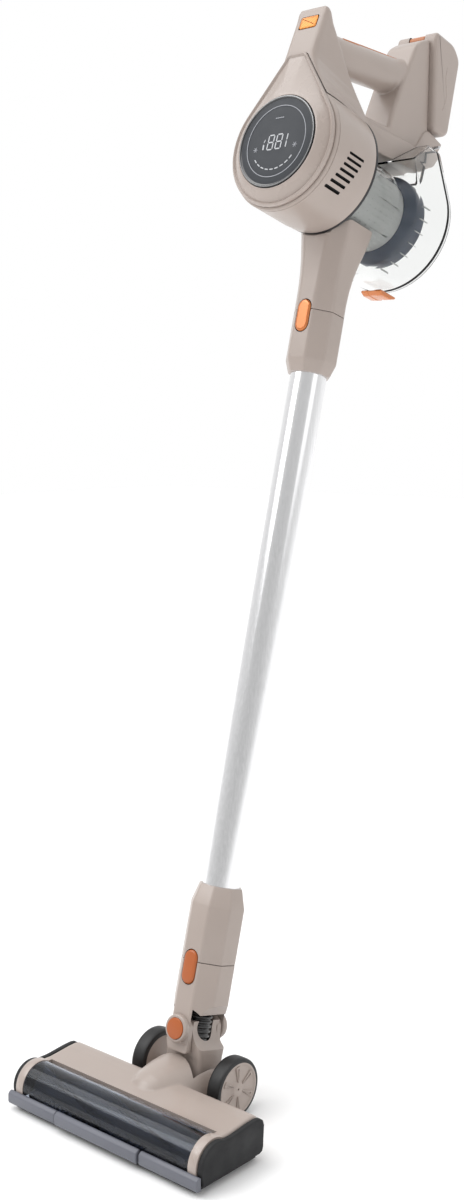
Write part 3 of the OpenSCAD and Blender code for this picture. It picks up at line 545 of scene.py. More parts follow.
m_display = plastic("slate_display", (0.05, 0.054, 0.061), 0.5, coat=0.0, depth=0.0, wear=0.0)
m_display.node_tree.nodes["Principled BSDF"].inputs["Specular IOR Level"].default_value = 0.25
m_lit = glow("lit_marks", (0.45, 0.46, 0.48), 0.2)
m_dim = glow("dim_marks", (0.33, 0.34, 0.37), 0.1)
m_clear = clear("clear_cup", (0.955, 0.96, 0.955), 0.02, 1.2)
m_window = clear("smoked_window", (0.42, 0.46, 0.54), 0.03, 1.35)
m_shroud = plastic("grey_shroud", (0.40, 0.41, 0.40), 0.42, coat=0.2)
m_navy = plastic("slate_skirt", (0.035, 0.048, 0.075), 0.4, coat=0.2)
m_filter = plastic("filter_paper", (0.72, 0.70, 0.64), 0.9, grain=300.0, depth=0.3)
m_cell = plastic("cell_wrap", (0.03, 0.14, 0.38), 0.3, coat=0.3)
m_board = plastic("board_green", (0.02, 0.12, 0.05), 0.35)
m_core = plastic("roller_core", (0.03, 0.035, 0.05), 0.35, coat=0.3)
m_bristle = plastic("bristles", (0.02, 0.026, 0.045), 0.6)
m_white = plastic("white_acetal", (0.75, 0.75, 0.73), 0.4)
print("finishes", len(bpy.data.materials))


def painted(obj, material):
    if not obj.data.materials:
        obj.data.materials.append(material)
    else:
        obj.data.materials[0] = material
    return obj


CAD_FINISH = {
    "motor_can": m_steel, "motor_stator": m_copperwire, "motor_rotor": m_steel, "motor_seal": m_black,
    "rim_gasket": m_black, "display_board": m_board, "battery_dock_contacts": m_brass, "frame_screws": m_steel,
    "battery_cells": m_cell, "battery_board": m_board, "charge_socket": m_black, "lid_pins": m_steel,
    "wand_wire_duct": m_black, "wand_plug": m_brass, "neck_plug": m_brass, "swivel_pins": m_steel,
    "head_base": m_black, "roller_motor": m_steel, "motor_pulley": m_white, "drive_belt": m_black,
    "roller_bearings": m_steel, "wheel_axles": m_steel, "head_screws": m_steel, "hepa_filter": m_filter,
    "cyclone_shroud": m_shroud, "cyclone_skirt": m_navy, "wand_tube": m_tube, "lid_gasket": m_black,
}
for node_name, material in CAD_FINISH.items():
    mesh = nodes[node_name].data
    for i in range(len(mesh.materials)):
        mesh.materials[i] = material
    if not mesh.materials:
        mesh.materials.append(material)


def dress(obj, body, slot_name, *replaced):
    """Hand a finished piece to its CAD body and hide the CAD nodes it stands for."""
    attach(obj, body)
    if replaced:
        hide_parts(*replaced)
    print(obj.name, len(obj.data.polygons), "faces")
    return obj

# %% [markdown]
# ## Motor housing and front panel
# The panel is a teardrop: a circle with a narrow neck that runs up the arm. A raised line follows
# its rim, and the surface inside sweeps forward to the ring that holds the display.

# %% Teardrop panel
HOUSING_R = 60.0


def teardrop(grow):
    """Hull of the housing's circle and a rounded neck, as (x, h) points from the bottom."""
    return hull_outline([(0, 0, 58.0 + grow), (-8, 83, 4 + grow), (8, 83, 4 + grow)], 180)


def panel_loop(grow, c):
    return [(x, c, h) for x, h in teardrop(grow)]


def ring_loop(radius, c):
    angles = [atan2(h, x) for x, h in teardrop(0)]
    return [(radius * cos(a), c, radius * sin(a)) for a in angles]


def between(first, second, t, c):
    return [(a[0] * (1 - t) + b[0] * t, c, a[2] * (1 - t) + b[2] * t) for a, b in zip(first, second)]


rim, ring = panel_loop(-3.4, 0), ring_loop(46.2, 0)
ramp = [between(rim, ring, t, -94.6 - 6.9 * t ** 0.85) for t in np.linspace(0.04, 1, 14)]
edge_rows = [(-0.6, -90.4), (0, -91.0), (0, -94.6), (-0.4, -95.4), (-1.2, -95.9), (-2.0, -95.6),
             (-2.7, -94.8), (-3.2, -94.5)]
loops = [ring_loop(43.7, -90.4), *(panel_loop(grow, c) for grow, c in edge_rows), *ramp,
         ring_loop(45.2, -102.1), ring_loop(44.2, -102.2), ring_loop(43.7, -101.6)]
front = painted(loft("front_shell", loops, MOTOR, ring=True, crease=50), m_gloss)
dress(front, "hand_unit", "taupe_gloss", "front_panel")

# %% [markdown]
# The housing is turned from a profile with a groove behind the panel and a step near its rear.
# Seven slots on each side let the motor's air out; the repeat group makes their cutters.

# %% Housing
drum_profile = [(-90.2, 50), (-90.2, 58.4), (-89.6, 59.5), (-88.6, 60), (-87.2, 60), (-86.8, 59.4),
                (-86.2, 59.4), (-85.8, 60), (-41.2, 60), (-40.8, 59.4), (-29.0, 59.3), (-27.6, 58.9),
                (-27.1, 58), (-27.1, 50)]
drum = painted(turned("housing_shell", drum_profile, MOTOR, ring=True, n=160, crease=28), m_shell)
# The slot cutters carry the near-black painted shade, so the slot walls are painted dark.
for side in (1, -1):
    slot = tool(rounded([(0, 0), (22, 0), (22, 2.5), (0, 2.5)], 1.2, 4), 0, 26, FLAT, "x", 0.01)
    slot.data.transform(Matrix.Translation((40, 0, 0)))
    slots = repeated("slots", slot, 7, m_painted_shade, shifted(MOTOR, y=-68.5, z=-5), step=(0, -1.9, -5.6))
    if side < 0:
        slots.data.transform(Matrix.Scale(-1, 4, Vector((1, 0, 0))))
        slots.data.flip_normals()
    cut(drum, slots)
shade(drum, 28)
dress(drum, "hand_unit", "taupe", "motor_housing")
# A near-black sheet inside the drum behind the slots is painted shade, so the slots read dark.
shade_sheet = turned("vent_liner", [(-88, 48.2), (-88, 49.6), (-30, 49.6), (-30, 48.2)], MOTOR, ring=True)
dress(painted(shade_sheet, m_painted_shade), "hand_unit", "black")

# %% [markdown]
# ## Display
# A black glossy ring carries the glass. Its marks are thin plates: a light ring, three seven-bar
# figures, small signs at both sides and a row of dashes that shows the charge.

# %% Display
GLASS_C = -102.7
MARK_C = GLASS_C - 0.55
bezel_profile = [(-96, 40.5), (-96, 43.4), (-102.9, 43.4), (-103.4, 42.9), (-103.4, 41.9),
                 (-102.8, 41.3), (-102.6, 40.5)]
bezel = turned("bezel_ring", bezel_profile, MOTOR, ring=True, n=128)
dress(painted(bezel, m_bezel), "hand_unit", "bezel", "display_bezel")
edge_profile = [(-103.45, 42.5), (-103.3, 42.9), (-103.0, 42.7), (-103.2, 42.3)]
edge_ring = turned("bezel_edge", edge_profile, MOTOR, ring=True, n=128)
dress(painted(edge_ring, m_steel), "hand_unit", "bezel")
glass_profile = [(-100.5, 0), (-100.5, 40.9), (GLASS_C + 0.3, 40.9), (GLASS_C, 40.4),
                 (GLASS_C - 0.25, 20), (GLASS_C - 0.3, 0)]
glass = turned("display_disc", glass_profile, MOTOR, n=128)
dress(painted(glass, m_display), "hand_unit", "glass", "display_glass")


def plate(outline, place=MOTOR):
    return tool(outline, MARK_C, GLASS_C + 0.2, place, "y", 0.05)


def bar(x0, h0, x1, h1, width):
    """Slim plate between two points of the display."""
    along = Vector((x1 - x0, h1 - h0)).normalized() * width / 2
    side = Vector((-along.y, along.x))
    a, b = Vector((x0, h0)), Vector((x1, h1))
    return plate([tuple(p) for p in (a - along, a + side, b + side, b + along, b - side, a - side)])


SEGMENTS = {"8": "abcdefg", "1": "bc"}


def figure(digit, x, h, wide=6.2, tall=13.5, slant=0.6):
    ends = {"a": (0, 2, 1, 2), "b": (1, 2, 1, 1), "c": (1, 1, 1, 0), "d": (0, 0, 1, 0), "e": (0, 1, 0, 0),
            "f": (0, 2, 0, 1), "g": (0, 1, 1, 1)}
    made = []
    for key in SEGMENTS[digit]:
        u0, v0, u1, v1 = ends[key]
        start = (x + u0 * wide + v0 * slant, h + v0 * tall / 2)
        stop = (x + u1 * wide + v1 * slant, h + v1 * tall / 2)
        shrink = Vector((stop[0] - start[0], stop[1] - start[1])).normalized() * 0.9
        made.append(bar(start[0] + shrink.x, start[1] + shrink.y,
                        stop[0] - shrink.x, stop[1] - shrink.y, 1.15))
    return made


marks = figure("8", -9.6, -7.5) + figure("8", 0.0, -7.5) + figure("1", 6.0, -7.5)
marks += [bar(-14, -6.5, -14, -2.5, 1.6), bar(-14, 0, -13, 2.4, 0.8)]
dress(painted(join("display_figures", marks), m_lit), "hand_unit", "glass")
signs = []
for x in (-23, 23):
    for a in (0, pi / 3, 2 * pi / 3):
        u, v = 2.4 * cos(a), 2.4 * sin(a)
        signs.append(bar(x + u, v - 6, x - u, -6 - v, 0.5))
signs += [bar(x, 22, x + 1.5, 22.2, 0.9) for x in (-4.5, -2, 0.5, 3)]
dress(painted(join("display_signs", signs), m_dim), "hand_unit", "glass")
ring_mark = [(GLASS_C - 0.5, 33.4), (GLASS_C - 0.5, 34.0), (GLASS_C + 0.2, 34.0), (GLASS_C + 0.2, 33.4)]
dress(painted(turned("display_light_ring", ring_mark, MOTOR, ring=True, n=128), m_dim), "hand_unit", "glass")
dash = plate([(26.2, -1.9), (27.2, -1.9), (27.2, 1.9), (26.2, 1.9)], FLAT)
dash.data.transform(Matrix.Rotation(radians(40), 4, "Y"))
dashes = repeated("display_dashes", dash, 9, m_lit, MOTOR, turn=(0, radians(12.5), 0))
dress(dashes, "hand_unit", "glass")

# %% [markdown]
# ## Handle frame
# The arm widens downwards into the housing. It melts together with the dock, the grip and the bar
# below the loop, and a crisp band is laid over that bar.

# %% Handle frame


def drum_tool(gap, rear):
    """Cylinder that clears the drum by gap, as far as its rear."""
    return rod("y", HOUSING_R + gap, -100, rear, MOTOR, n=160)


arm_rows = [(136.6, 14.0, 14.0, -83.5, -79.5), (135.6, 15.9, 15.9, -84.0, -78),
            (132.5, 17.4, 17.4, -84.6, -75.5), (124, 17.6, 17.9, -86.2, -69.5),
            (113, 17.6, 18.2, -88.4, -58.5), (100, 17.6, 18.6, -91.0, -46.5),
            (90, 17.7, 19.0, -92.8, -37.0), (84, 18.6, 19.2, -93.2, -30.5),
            (76, 22.0, 19.4, -93.2, -20.5), (68, 26.6, 19.6, -93.2, -9.5),
            (60, 31.6, 19.8, -93.0, 2.0), (52, 36.6, 19.9, -93.0, 6.0), (44, 41.6, 20.0, -93.0, 6.0),
            (36, 46.5, 20.0, -93.0, 6.0), (26, 50.0, 20.0, -93.0, 6.0)]
arm_loops = []
for h, wide, narrow, c0, c1 in arm_rows:
    corners = [(wide, c0), (narrow, c1), (-narrow, c1), (-wide, c0)]
    arm_loops.append([(x, c, h) for x, c in rounded(corners, 6.0, 8)])
arm = loft("arm", arm_loops, MOTOR)
dock_side = [(34, 60), (98, 60), (100.5, 93), (78.2, 181.3), (66, 173.5), (57, 165), (46, 125), (38, 90)]
dock = slab("dock", rounded(dock_side, 4, 5), -18.2, 18.2, MOTOR, edge=3.5)
grip_rows = [(-66, 15.5, 18.5), (-56, 16.2, 17.8), (-46, 16.8, 17.2), (-20, 17.0, 17.0), (20, 17.0, 17.0),
             (40, 17.0, 17.4), (50, 17.6, 18.4), (58, 18.2, 19.6)]
grip_loops = [[(rx * cos(a), y, rz * sin(a)) for a in np.linspace(0, 2 * pi, 64, endpoint=False)]
              for y, rx, rz in grip_rows]
grip = loft("grip", grip_loops, GRIP)
bar_side = [(-30, 38), (14, 38), (92, 46), (99, 66), (60, 74), (32, 70), (-14, 64), (-30, 62)]
bar_body = slab("bar", rounded(bar_side, 4, 5), -18.0, 18.0, MOTOR, edge=3)
frame_body = painted(melted("handle_body", [arm, dock, grip, bar_body], 0.9, 7), m_shell)
# The seam round the panel is cut with walls of near-black painted shade.
cut(frame_body, painted(loft("panel_tool", [panel_loop(0.6, -101), panel_loop(0.6, -89.8)], MOTOR), m_painted_shade))
cut(frame_body, drum_tool(0.7, -24.3))

# The pocket of the power button sinks into the sloping top of the arm. Its walls are near-black painted shade.
BUTTON = shifted(MOTOR, 0, -86.4, 121) @ Matrix.Rotation(radians(-11.5), 4, "X")
pocket_outline = rounded([(-10.6, -6.9), (10.6, -6.9), (10.6, 6.9), (-10.6, 6.9)], 2.5)
pocket = tool(pocket_outline, -8, 4, BUTTON, "y", 0.05)
cut(frame_body, painted(pocket, m_painted_shade))
shade(frame_body, 38)
dress(frame_body, "hand_unit", "taupe", "handle_frame")

band_side = [(-24, 38), (14, 38), (92, 46), (111, 58), (124.6, 89), (98.2, 92.8), (91.5, 89), (82, 69),
             (34, 64.5), (-3, 61), (-12, 68), (-22, 62)]
band = painted(slab("loop_band", rounded(band_side, 3.0, 5), -20, 20, MOTOR, edge=1.6), m_shell)
cut(band, drum_tool(0.7, -24.3))
shade(band, 35)
dress(band, "hand_unit", "taupe")

cap_loops = []
for lift, shrink in ((-5.0, 0.0), (0.2, 0.0), (1.0, 0.35), (1.4, 1.1), (1.6, 2.6)):
    outline = rounded([(-10, -6.3), (10, -6.3), (10, 6.3), (-10, 6.3)], 2.4)
    cap_loops.append([(x, -lift, z) for x, z in inset(outline, shrink)])
power = painted(loft("power_cap", cap_loops, BUTTON), m_hatched)
dress(power, "power_switch", "copper", "power_button")

inlay_half = [(-48, 10.5), (-24, 10.5), (-20, 8.0), (47, 6.4)]
inlay_outline = inlay_half + [(y, -x) for y, x in inlay_half[::-1]]
inlay_loops = []
for radius, shrink in ((15.5, 0), (17.5, 0), (17.8, 0.4)):
    outline = inset(rounded(inlay_outline, 1.5), shrink)
    inlay_loops.append([(x, y, sqrt(radius ** 2 - x ** 2)) for y, x in outline])
dress(painted(loft("inlay_strip", inlay_loops, GRIP), m_inlay), "hand_unit", "copper", "grip_inlay")

# %% [markdown]
# ## Inlet neck and wand
# The neck is an eight-sided bar that flares upwards under the housing. Both fittings of the wand
# share its section, and each end of the wand locks with a capsule-shaped button.

# %% Inlet neck and wand
BUTTON_TOP, BUTTON_LOW = 745.0, 129.0
TOP_AF, LOW_AF = 47, 49
OCTAGON = 0.293
BORE_R = 17.6
flare = [(751.4, 23.5, -23.5, 23.5, 13.8), (765, 23.5, -23.5, 23.5, 13.8), (778, 23.3, -23.3, 24, 13),
         (792, 24, -23.6, 26, 13), (806, 25.4, -24.2, 29, 13), (820, 27.5, -25.3, 33, 13.5),
         (834, 29.5, -27, 36, 14), (843, 30, -28, 36.8, 14), (850, 30, -28, 36, 14), (853, 28, -26, 33, 13)]
inlet = painted(loft("inlet_flare", box_loops(flare, 3.2), WAND, crease=24), m_shell)
cut(inlet, drum_tool(0.6, -23.6), rod("y", 43.6, -27, 60, CYCLONE, n=128))


def octagon_bar(name, rows):
    """Eight-sided bar up the wand, through rows of (w, width across flats)."""
    loops = box_loops([(w, af / 2, -af / 2, af / 2, af * OCTAGON) for w, af in rows], 2.0)
    return painted(loft(name, loops, WAND, crease=24), m_shell)


def capsule(width, height, k=16):
    r = width / 2
    top = [(r * cos(a), height / 2 - r + r * sin(a)) for a in np.linspace(0, pi, k)]
    return top + [(-x, -z) for x, z in top]


def capsule_cap(name, w, af, material):
    loops = []
    for lift, shrink in ((-2.8, 0.0), (0.0, 0.0), (0.8, 0.3), (1.3, 0.9), (1.6, 1.8), (1.7, 3.0)):
        loops.append([(x, -af / 2 - lift, w + z) for x, z in inset(capsule(15, 31), shrink)])
    return painted(loft(name, loops, WAND, crease=40), material)


# The walls of a release button's pocket are near-black painted shade.
def capsule_pocket(w, af):
    outline = [(x, w + z) for x, z in capsule(16.6, 32.6)]
    return painted(tool(outline, -af / 2 - 3, -af / 2 + 6.2, WAND), m_painted_shade)


cut(inlet, capsule_pocket(BUTTON_TOP, TOP_AF))
dress(shade(inlet, 26), "hand_unit", "taupe", "inlet_neck")
top_rows = [(692.6, 38), (693.4, 39.2), (704, 46.4), (705.4, TOP_AF), (750.2, TOP_AF), (750.8, 46.6)]
low_rows = [(135.4, 48.6), (136, LOW_AF), (186, LOW_AF), (187.4, 48.4), (203.4, 39.6), (204.2, 38.4)]
upper_fitting = octagon_bar("top_fitting", top_rows)
cut(upper_fitting, rod("z", BORE_R, 690, 752, WAND), capsule_pocket(BUTTON_TOP, TOP_AF))
dress(shade(upper_fitting, 26), "wand", "taupe", "wand_top_fitting")
lower_fitting = octagon_bar("bottom_fitting", low_rows)
cut(lower_fitting, rod("z", BORE_R, 134, 206, WAND), capsule_pocket(BUTTON_LOW, LOW_AF))
dress(shade(lower_fitting, 26), "wand", "taupe", "wand_bottom_fitting")
wand_cap = capsule_cap("wand_release_cap", BUTTON_TOP, TOP_AF, m_copper)
dress(wand_cap, "wand_release", "copper", "wand_button")
head_cap = capsule_cap("head_release_cap", BUTTON_LOW, LOW_AF, m_burnt)
dress(head_cap, "head_release", "burnt", "head_button")


def spigot(name, w):
    """Short black tube that plugs into the next bore, from w upwards."""
    profile = [(w, 15.4), (w, 17.2), (w + 30, 17.2), (w + 31, 16.6), (w + 31, 15.4)]
    return painted(turned(name, profile, WAND, "z", ring=True), m_black)


dress(spigot("inlet_spigot", 751), "wand", "black")

# %% [markdown]
# ## Dust cup
# The wide part has two ears beside the handle bar, sloped so that they stay behind the band. Its
# clear wall has two faces, so light bends twice on its way through, as in the real moulding.

# %% Dust cup
WIDE_0, WIDE_1 = 38.0, 92.0
WALL = 1.8


def cup_body(name, lo, hi, shrink, edge):
    outline = hull_outline([(0, 0, 65.5 - shrink), (-33, 71, 8 - shrink), (33, 71, 8 - shrink)], 200)
    body = slab(name, outline, lo, hi, CYCLONE, "y", edge, 4, 40)
    half, foot, drop = 21.5 + shrink, 47 - shrink, 1.3 * shrink
    notch = rounded([(-half, foot), (half, foot), (half, 120), (-half, 120)], 4)
    slope = [(WIDE_0 - 5, 43 - drop), (WIDE_1 - 12, 79 - drop), (WIDE_1 - 12, 99), (WIDE_0 - 5, 99)]
    return cut(body, tool(notch, lo - 5, hi + 5, CYCLONE), tool(slope, -60, 60, CYCLONE, "x"))


cup = cup_body("cup_shell", WIDE_0, WIDE_1, 0, 3.0)
cut(cup, rod("y", 43, -23.2, 41, CYCLONE, n=128), how="UNION")
cut(cup, cup_body("inside", WIDE_0 + WALL, WIDE_1 + 6, WALL, 2.5), rod("y", 41.2, -30, 44, CYCLONE, n=128))
painted(cup, m_clear)
dress(shade(cup, 32), "cup", "clear", "dust_cup")
lid = cup_body("lid_plate", 94.0, 96.8, 0, 0.8)
dress(shade(painted(lid, m_clear), 32), "lid", "clear", "cup_lid")
rim_seal = cup_body("rim_seal", 92.3, 93.8, 0.1, 0.2)
cut(rim_seal, cup_body("rim_inside", 91, 95, 2.4, 0.2))
dress(shade(painted(rim_seal, m_black), 32), "lid", "black", "lid_gasket")

# Seven short raised marks stand on the wide wall.
rib = block(-0.35, 0.35, 48, 60, 63.4, 65.9, FLAT)
ribs = repeated("cup_marks", rib, 7, m_shroud, CYCLONE, turn=(0, radians(-11), 0))
ribs.data.transform(CYCLONE @ Matrix.Rotation(radians(155), 4, "Y") @ CYCLONE.inverted())
dress(ribs, "cup", "clear")
latch_rows = []
latch_half = [(-12, -0.8), (-11.4, -0.2), (-10.6, 0), (-4.4, 0), (-4, -0.5)]
for x, grow in latch_half + [(-x, grow) for x, grow in latch_half[::-1]]:
    side = [(74, -69.2), (100, -69.2), (100.4, -71.5), (92, -74.4), (78, -74.4), (72.4, -71.5)]
    side = rounded(side, 1.2, 4)
    latch_rows.append([(x, c, h) for c, h in inset(side, -grow)])
dress(painted(loft("latch_skin", latch_rows, CYCLONE), m_copper), "latch", "copper", "cup_latch")

# %% [markdown]
# ## Cyclone
# A pale shroud with fine holes stands in the cup, with a dark skirt at its far end.

# %% Cyclone
shroud_profile = [(-22, 30), (-22, 36.6), (-21.4, 37.2), (56, 37.0), (57, 36.4), (57, 30)]
shroud = painted(turned("shroud_skin", shroud_profile, CYCLONE, ring=True, n=120), m_shroud)
for row in range(7):
    hole = rod("z", 0.45, 34, 39, FLAT, (0, -14 + 9 * row), 12)
    holes = repeated("holes", hole, 40, m_shroud, CYCLONE, turn=(0, radians(9), 0))
    cut(shroud, holes)
dress(shade(shroud, 32), "cup", "shroud", "cyclone_shroud")
skirt_profile = [(56, 20), (56, 37.6), (58, 39), (67, 45), (69, 45.6), (79, 45.2), (80, 44), (80, 20)]
skirt = turned("skirt_skin", skirt_profile, CYCLONE, ring=True, n=120)
dress(painted(skirt, m_navy), "cup", "navy", "cyclone_skirt")

# %% [markdown]
# ## Battery
# A wide block behind the dock with large soft bevels, a sloped copper button on its top and a
# raised wave line on each side in place of lettering.

# %% Battery
battery_side = [(98.6, 94.6), (78.8, 181.5), (80, 188.6), (112, 189), (126, 178), (126, 100), (120, 94.6)]
battery = slab("battery_skin", rounded(battery_side, 7, 8), -24.8, 24.8, MOTOR, edge=4.2, steps=6)
tongue = slab("tongue", [(64.5, 98), (64.5, 168), (86, 173), (104, 98)], -16.6, 16.6, MOTOR, edge=1)
cut(painted(battery, m_shell), painted(tongue, m_shell), how="UNION")
# The walls of the charge socket hole and the key bay are near-black painted shade.
socket_hole = painted(rod("y", 3.9, 116.4, 130, MOTOR, (0, 102), 48), m_painted_shade)
bay = tool([(80, 196), (77, 180.5), (97, 184.4), (101, 196)], -9.6, 9.6, MOTOR, "x", 0.3)
cut(battery, socket_hole, painted(bay, m_painted_shade))
dress(shade(battery, 34), "battery", "taupe", "battery_case")
key_side = [(79.6, 181.6), (97.6, 184.8), (100.2, 189.6), (84, 188.9), (79.6, 185.6)]
key = slab("battery_key", rounded(key_side, 1.2, 4), -9.1, 9.1, MOTOR, edge=0.8)
dress(painted(key, m_inlay), "battery_release", "copper", "battery_button")
for side, tag in ((1, "right"), (-1, "left")):
    points = [(108 + 3.4 * sin(t * 5.5), 118 + 44 * t) for t in np.linspace(0, 1, 40)]
    ribbon = points + [(c + 1.0, h) for c, h in points[::-1]]
    wave = slab("wave_" + tag, ribbon, *sorted((side * 24.2, side * 25.0)), MOTOR, "x", 0.02, 1)
    dress(painted(wave, m_gloss), "battery", "taupe_gloss")

# %% [markdown]
# ## Neck and swivel
# The upper part rides on the wand and rolls on two pins; the lower part carries it to the floor
# head. A straight ribbed hose stands between them behind the side openings.

# %% Neck and swivel
PINS_AT = (0, SWIVEL_W)
fork = octagon_bar("neck_fork", [(59, 46), (61, 48.6), (66, LOW_AF), (134, LOW_AF), (134.7, 48.6)])
opening = [(11.5, 75), (13.5, 79.5), (16.5, 88), (22.8, 97.4), (32, 100), (60, 100), (60, 20), (11.5, 20)]
for side in (1, -1):
    corners = [(side * x, w) for x, w in opening]
    cut(fork, painted(tool(rounded(corners, 3.0), -40, 40, WAND), m_shell))
cut(fork, painted(rod("y", 22.6, -23.4, 23.4, WAND, PINS_AT, 128), m_shell),
    rod("z", 16, 84, 140, WAND), capsule_pocket(BUTTON_LOW, LOW_AF))
for c0, c1 in ((-30, -23.6), (23.6, 30)):
    boss_profile = [(c0, 11.4), (c0 + 0.7, 12.3), (c0 + 1.6, 12.6), (c1 - 1.6, 12.6),
                    (c1 - 0.7, 12.3), (c1, 11.4)]
    boss = turned("boss", boss_profile, WAND, centre=PINS_AT)
    cut(fork, painted(boss, m_shell), how="UNION")
# The recess round the swivel cap has walls of near-black painted shade.
cut(fork, painted(rod("y", 9.9, -33, -28.8, WAND, PINS_AT), m_painted_shade))
dress(shade(fork, 28), "neck", "taupe", "neck_upper")
cap_profile = [(-28.9, 0), (-28.9, 9.6), (-30.6, 9.6), (-31.1, 9.2), (-31.25, 8.4), (-31.3, 0)]
cap = turned("swivel_cap_skin", cap_profile, WAND, centre=PINS_AT)
dress(painted(cap, m_burnt), "neck", "burnt", "swivel_cap")
dress(spigot("joint_spigot", 134), "neck", "black")

AXLE_W = (WAND.inverted() @ wheel_pos).z
AXLE_C = (WAND.inverted() @ wheel_pos).y
stem_rows = [(AXLE_W - 2, 22, -11.5, 19, 3), (AXLE_W + 8, 22.4, -12.6, 19.4, 3),
             (AXLE_W + 17, 22.6, -12.9, 19.5, 3), (AXLE_W + 27, 22.8, -16.4, 19.6, 3),
             (SWIVEL_W + 8, 22.8, -16.4, 19.6, 3)]
stem = painted(loft("neck_stem", box_loops(stem_rows, 4), WAND, crease=24), m_shell)
for side in (1, -1):
    bowl = painted(rod("y", 20.0, -40, 40, WAND, (side * 29.5, SWIVEL_W + 3.5), 96), m_shell)
    cut(stem, bowl)
for c0, c1 in ((-23.2, -17), (17, 23.2)):
    ear_outline = hull_outline([(0, SWIVEL_W, 10.6), (-9, AXLE_W + 24, 3), (9, AXLE_W + 24, 3)], 90)
    ear = slab("ear", ear_outline, c0, c1, WAND, "y", 0.8, 3)
    cut(stem, painted(ear, m_shell), how="UNION")
cut(stem, painted(rod("x", 12.5, -22.5, 22.5, WAND, (AXLE_C, AXLE_W), 96), m_shell), how="UNION")
cut(stem, rod("z", 14.2, SWIVEL_W - 22, SWIVEL_W + 30, WAND))
dress(shade(stem, 30), "ankle", "taupe", "neck_lower")

rib_profile = [(0, 11.8), (0.8, 12.9), (1.6, 13.5), (2.4, 13.5), (3.2, 12.9), (3.9, 11.9)]
hose_profile = []
for ring_index in range(10):
    w = SWIVEL_W - 21.5 + 4.4 * ring_index
    hose_profile += [(w + rise, radius) for rise, radius in rib_profile]
hose_profile = [(hose_profile[0][0], 10.6)] + hose_profile + [(hose_profile[-1][0], 10.6)]
hose = painted(turned("bellows_skin", hose_profile, WAND, "z", ring=True, n=72, crease=60), m_hose)
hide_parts("bellows_hose")
hose_ends = (WAND @ Vector((0, 0, SWIVEL_W + 12)), WAND @ Vector((0, 0, SWIVEL_W - 12)))
tuple(hose_ends[0])
tuple(hose_ends[1])
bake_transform(hose)

# %% [markdown]
# ## Floor head
# The cover is one soft moulding: a lobe over the roller, a valley, a rear lobe and a dome in the
# middle that covers the front of the joint. The smoked window lies in its front.

# %% Head cover
HALF = 112.0
ROLLER = (-83.0, 19.0)


def cover_section(shrink=0.0):
    """Side outline of the cover as (y, z) points: roller lobe, shallow valley and rear lobe."""
    lobe = [(ROLLER[0] + (21 - shrink) * cos(a), ROLLER[1] + (21 - shrink) * sin(a))
            for a in np.linspace(radians(200), radians(62), 22)]
    top = [(-69.5, 37.4), (-64, 37.2), (-58, 37.6), (-50, 38.4), (-41, 39.3), (-32, 39.6), (-28, 38.8),
           (-24.8, 36.4), (-23.4, 32)]
    rear = [(-23.2 - shrink, 20), (-23.6 - shrink, 12), (-26, 8), (-30, 6.6), (-60, 6.6), (-101, 6.6)]
    return lobe + [(y, z - shrink) for y, z in top] + rear


ends = [(HALF, 3.0), (HALF - 0.5, 1.6), (HALF - 1.4, 0.6), (HALF - 3, 0.0)]
stations = [(-x, s) for x, s in ends] + [(0, 0.0)] + [(x, s) for x, s in ends[::-1]]
cover = loft("cover", [[(x, y, z) for y, z in cover_section(s)] for x, s in stations], FLOOR)
dome_rows = []
dome_sizes = [(-58, 19, 37.5), (-52, 23.5, 43.6), (-44, 27, 47.0), (-34, 30, 49.6), (-22, 32.6, 51.4),
              (-8, 34.6, 52.0), (6, 35.5, 51.2), (20, 35.5, 47.5), (28, 34, 42)]
for y, half, z_top in dome_sizes:
    angles = np.linspace(0, pi, 40)
    outline = [(half * cos(a), 12 + (z_top - 12) * sin(a) ** 0.8) for a in angles]
    dome_rows.append([(x, y, z) for x, z in outline])
dome = loft("dome", dome_rows, FLOOR)
cover = painted(melted("cover_skin", [cover, dome], 0.9, 9), m_shell)
cut(cover, block(-103.3, 103.3, -140, -68.2, -10, 60, FLOOR))
cut(cover, painted(rod("x", 31.2, -25.9, 25.9, FLOOR, WHEEL_AT[1:], 128), m_shell),
    block(-60, 60, 15, 60, -10, 70, FLOOR), block(-25.9, 25.9, 0, 60, -10, 70, FLOOR),
    block(-60, 60, -22, 60, -10, 12, FLOOR),
    painted(rod("x", 19.3, -120, 120, FLOOR, ROLLER, 128), m_shell))
dress(shade(cover, 38), "floor_head", "taupe", "head_cover")

# %% Window, bumper and ends
arc = np.linspace(radians(204), radians(45.5), 40)
window_out = [(ROLLER[0] + 21 * cos(a), ROLLER[1] + 21 * sin(a)) for a in arc]
window_in = [(ROLLER[0] + 19.4 * cos(a), ROLLER[1] + 19.4 * sin(a)) for a in arc[::-1]]
window = slab("window_skin", window_out + window_in, -103, 103, FLOOR, "x", 0.05, 1, 30)
dress(painted(window, m_window), "floor_head", "smoked", "roller_window")

LOW = [(-103.6, 4.5), (-107.6, 4.5), (-109.4, 6.6), (-109.2, 14.6), (-106, 17.0), (-103.6, 16.2)]
HIGH = [(-104.6, 5.6), (-109.8, 5.6), (-111, 7.6), (-110.6, 15.4), (-107, 17.8), (-104.6, 17)]
sections = [(-118, -55.0, LOW), (-53.6, 49.2, HIGH), (50.6, 118, LOW)]
bumper_parts = []
for x0, x1, side in sections:
    bumper_parts.append(slab("bumper_part", rounded(side, 1.3, 4), x0, x1, FLOOR, "x", 1.0, 3))
# A near-black sheet behind the bumper is painted shade that shows in the gaps between its three parts.
back_side = [(-103, 4.5), (-107, 4.8), (-108, 8), (-107.6, 14), (-105, 15.6), (-103, 15)]
gap_shade_sheet = slab("bumper_back", rounded(back_side, 1), -117, 117, FLOOR, "x", 1.0, 3)
bumper = painted(join("bumper_skin", bumper_parts), m_bumper)
dress(shade(bumper, 34), "floor_head", "charcoal", "bumper")
dress(painted(gap_shade_sheet, m_painted_shade), "floor_head", "black")
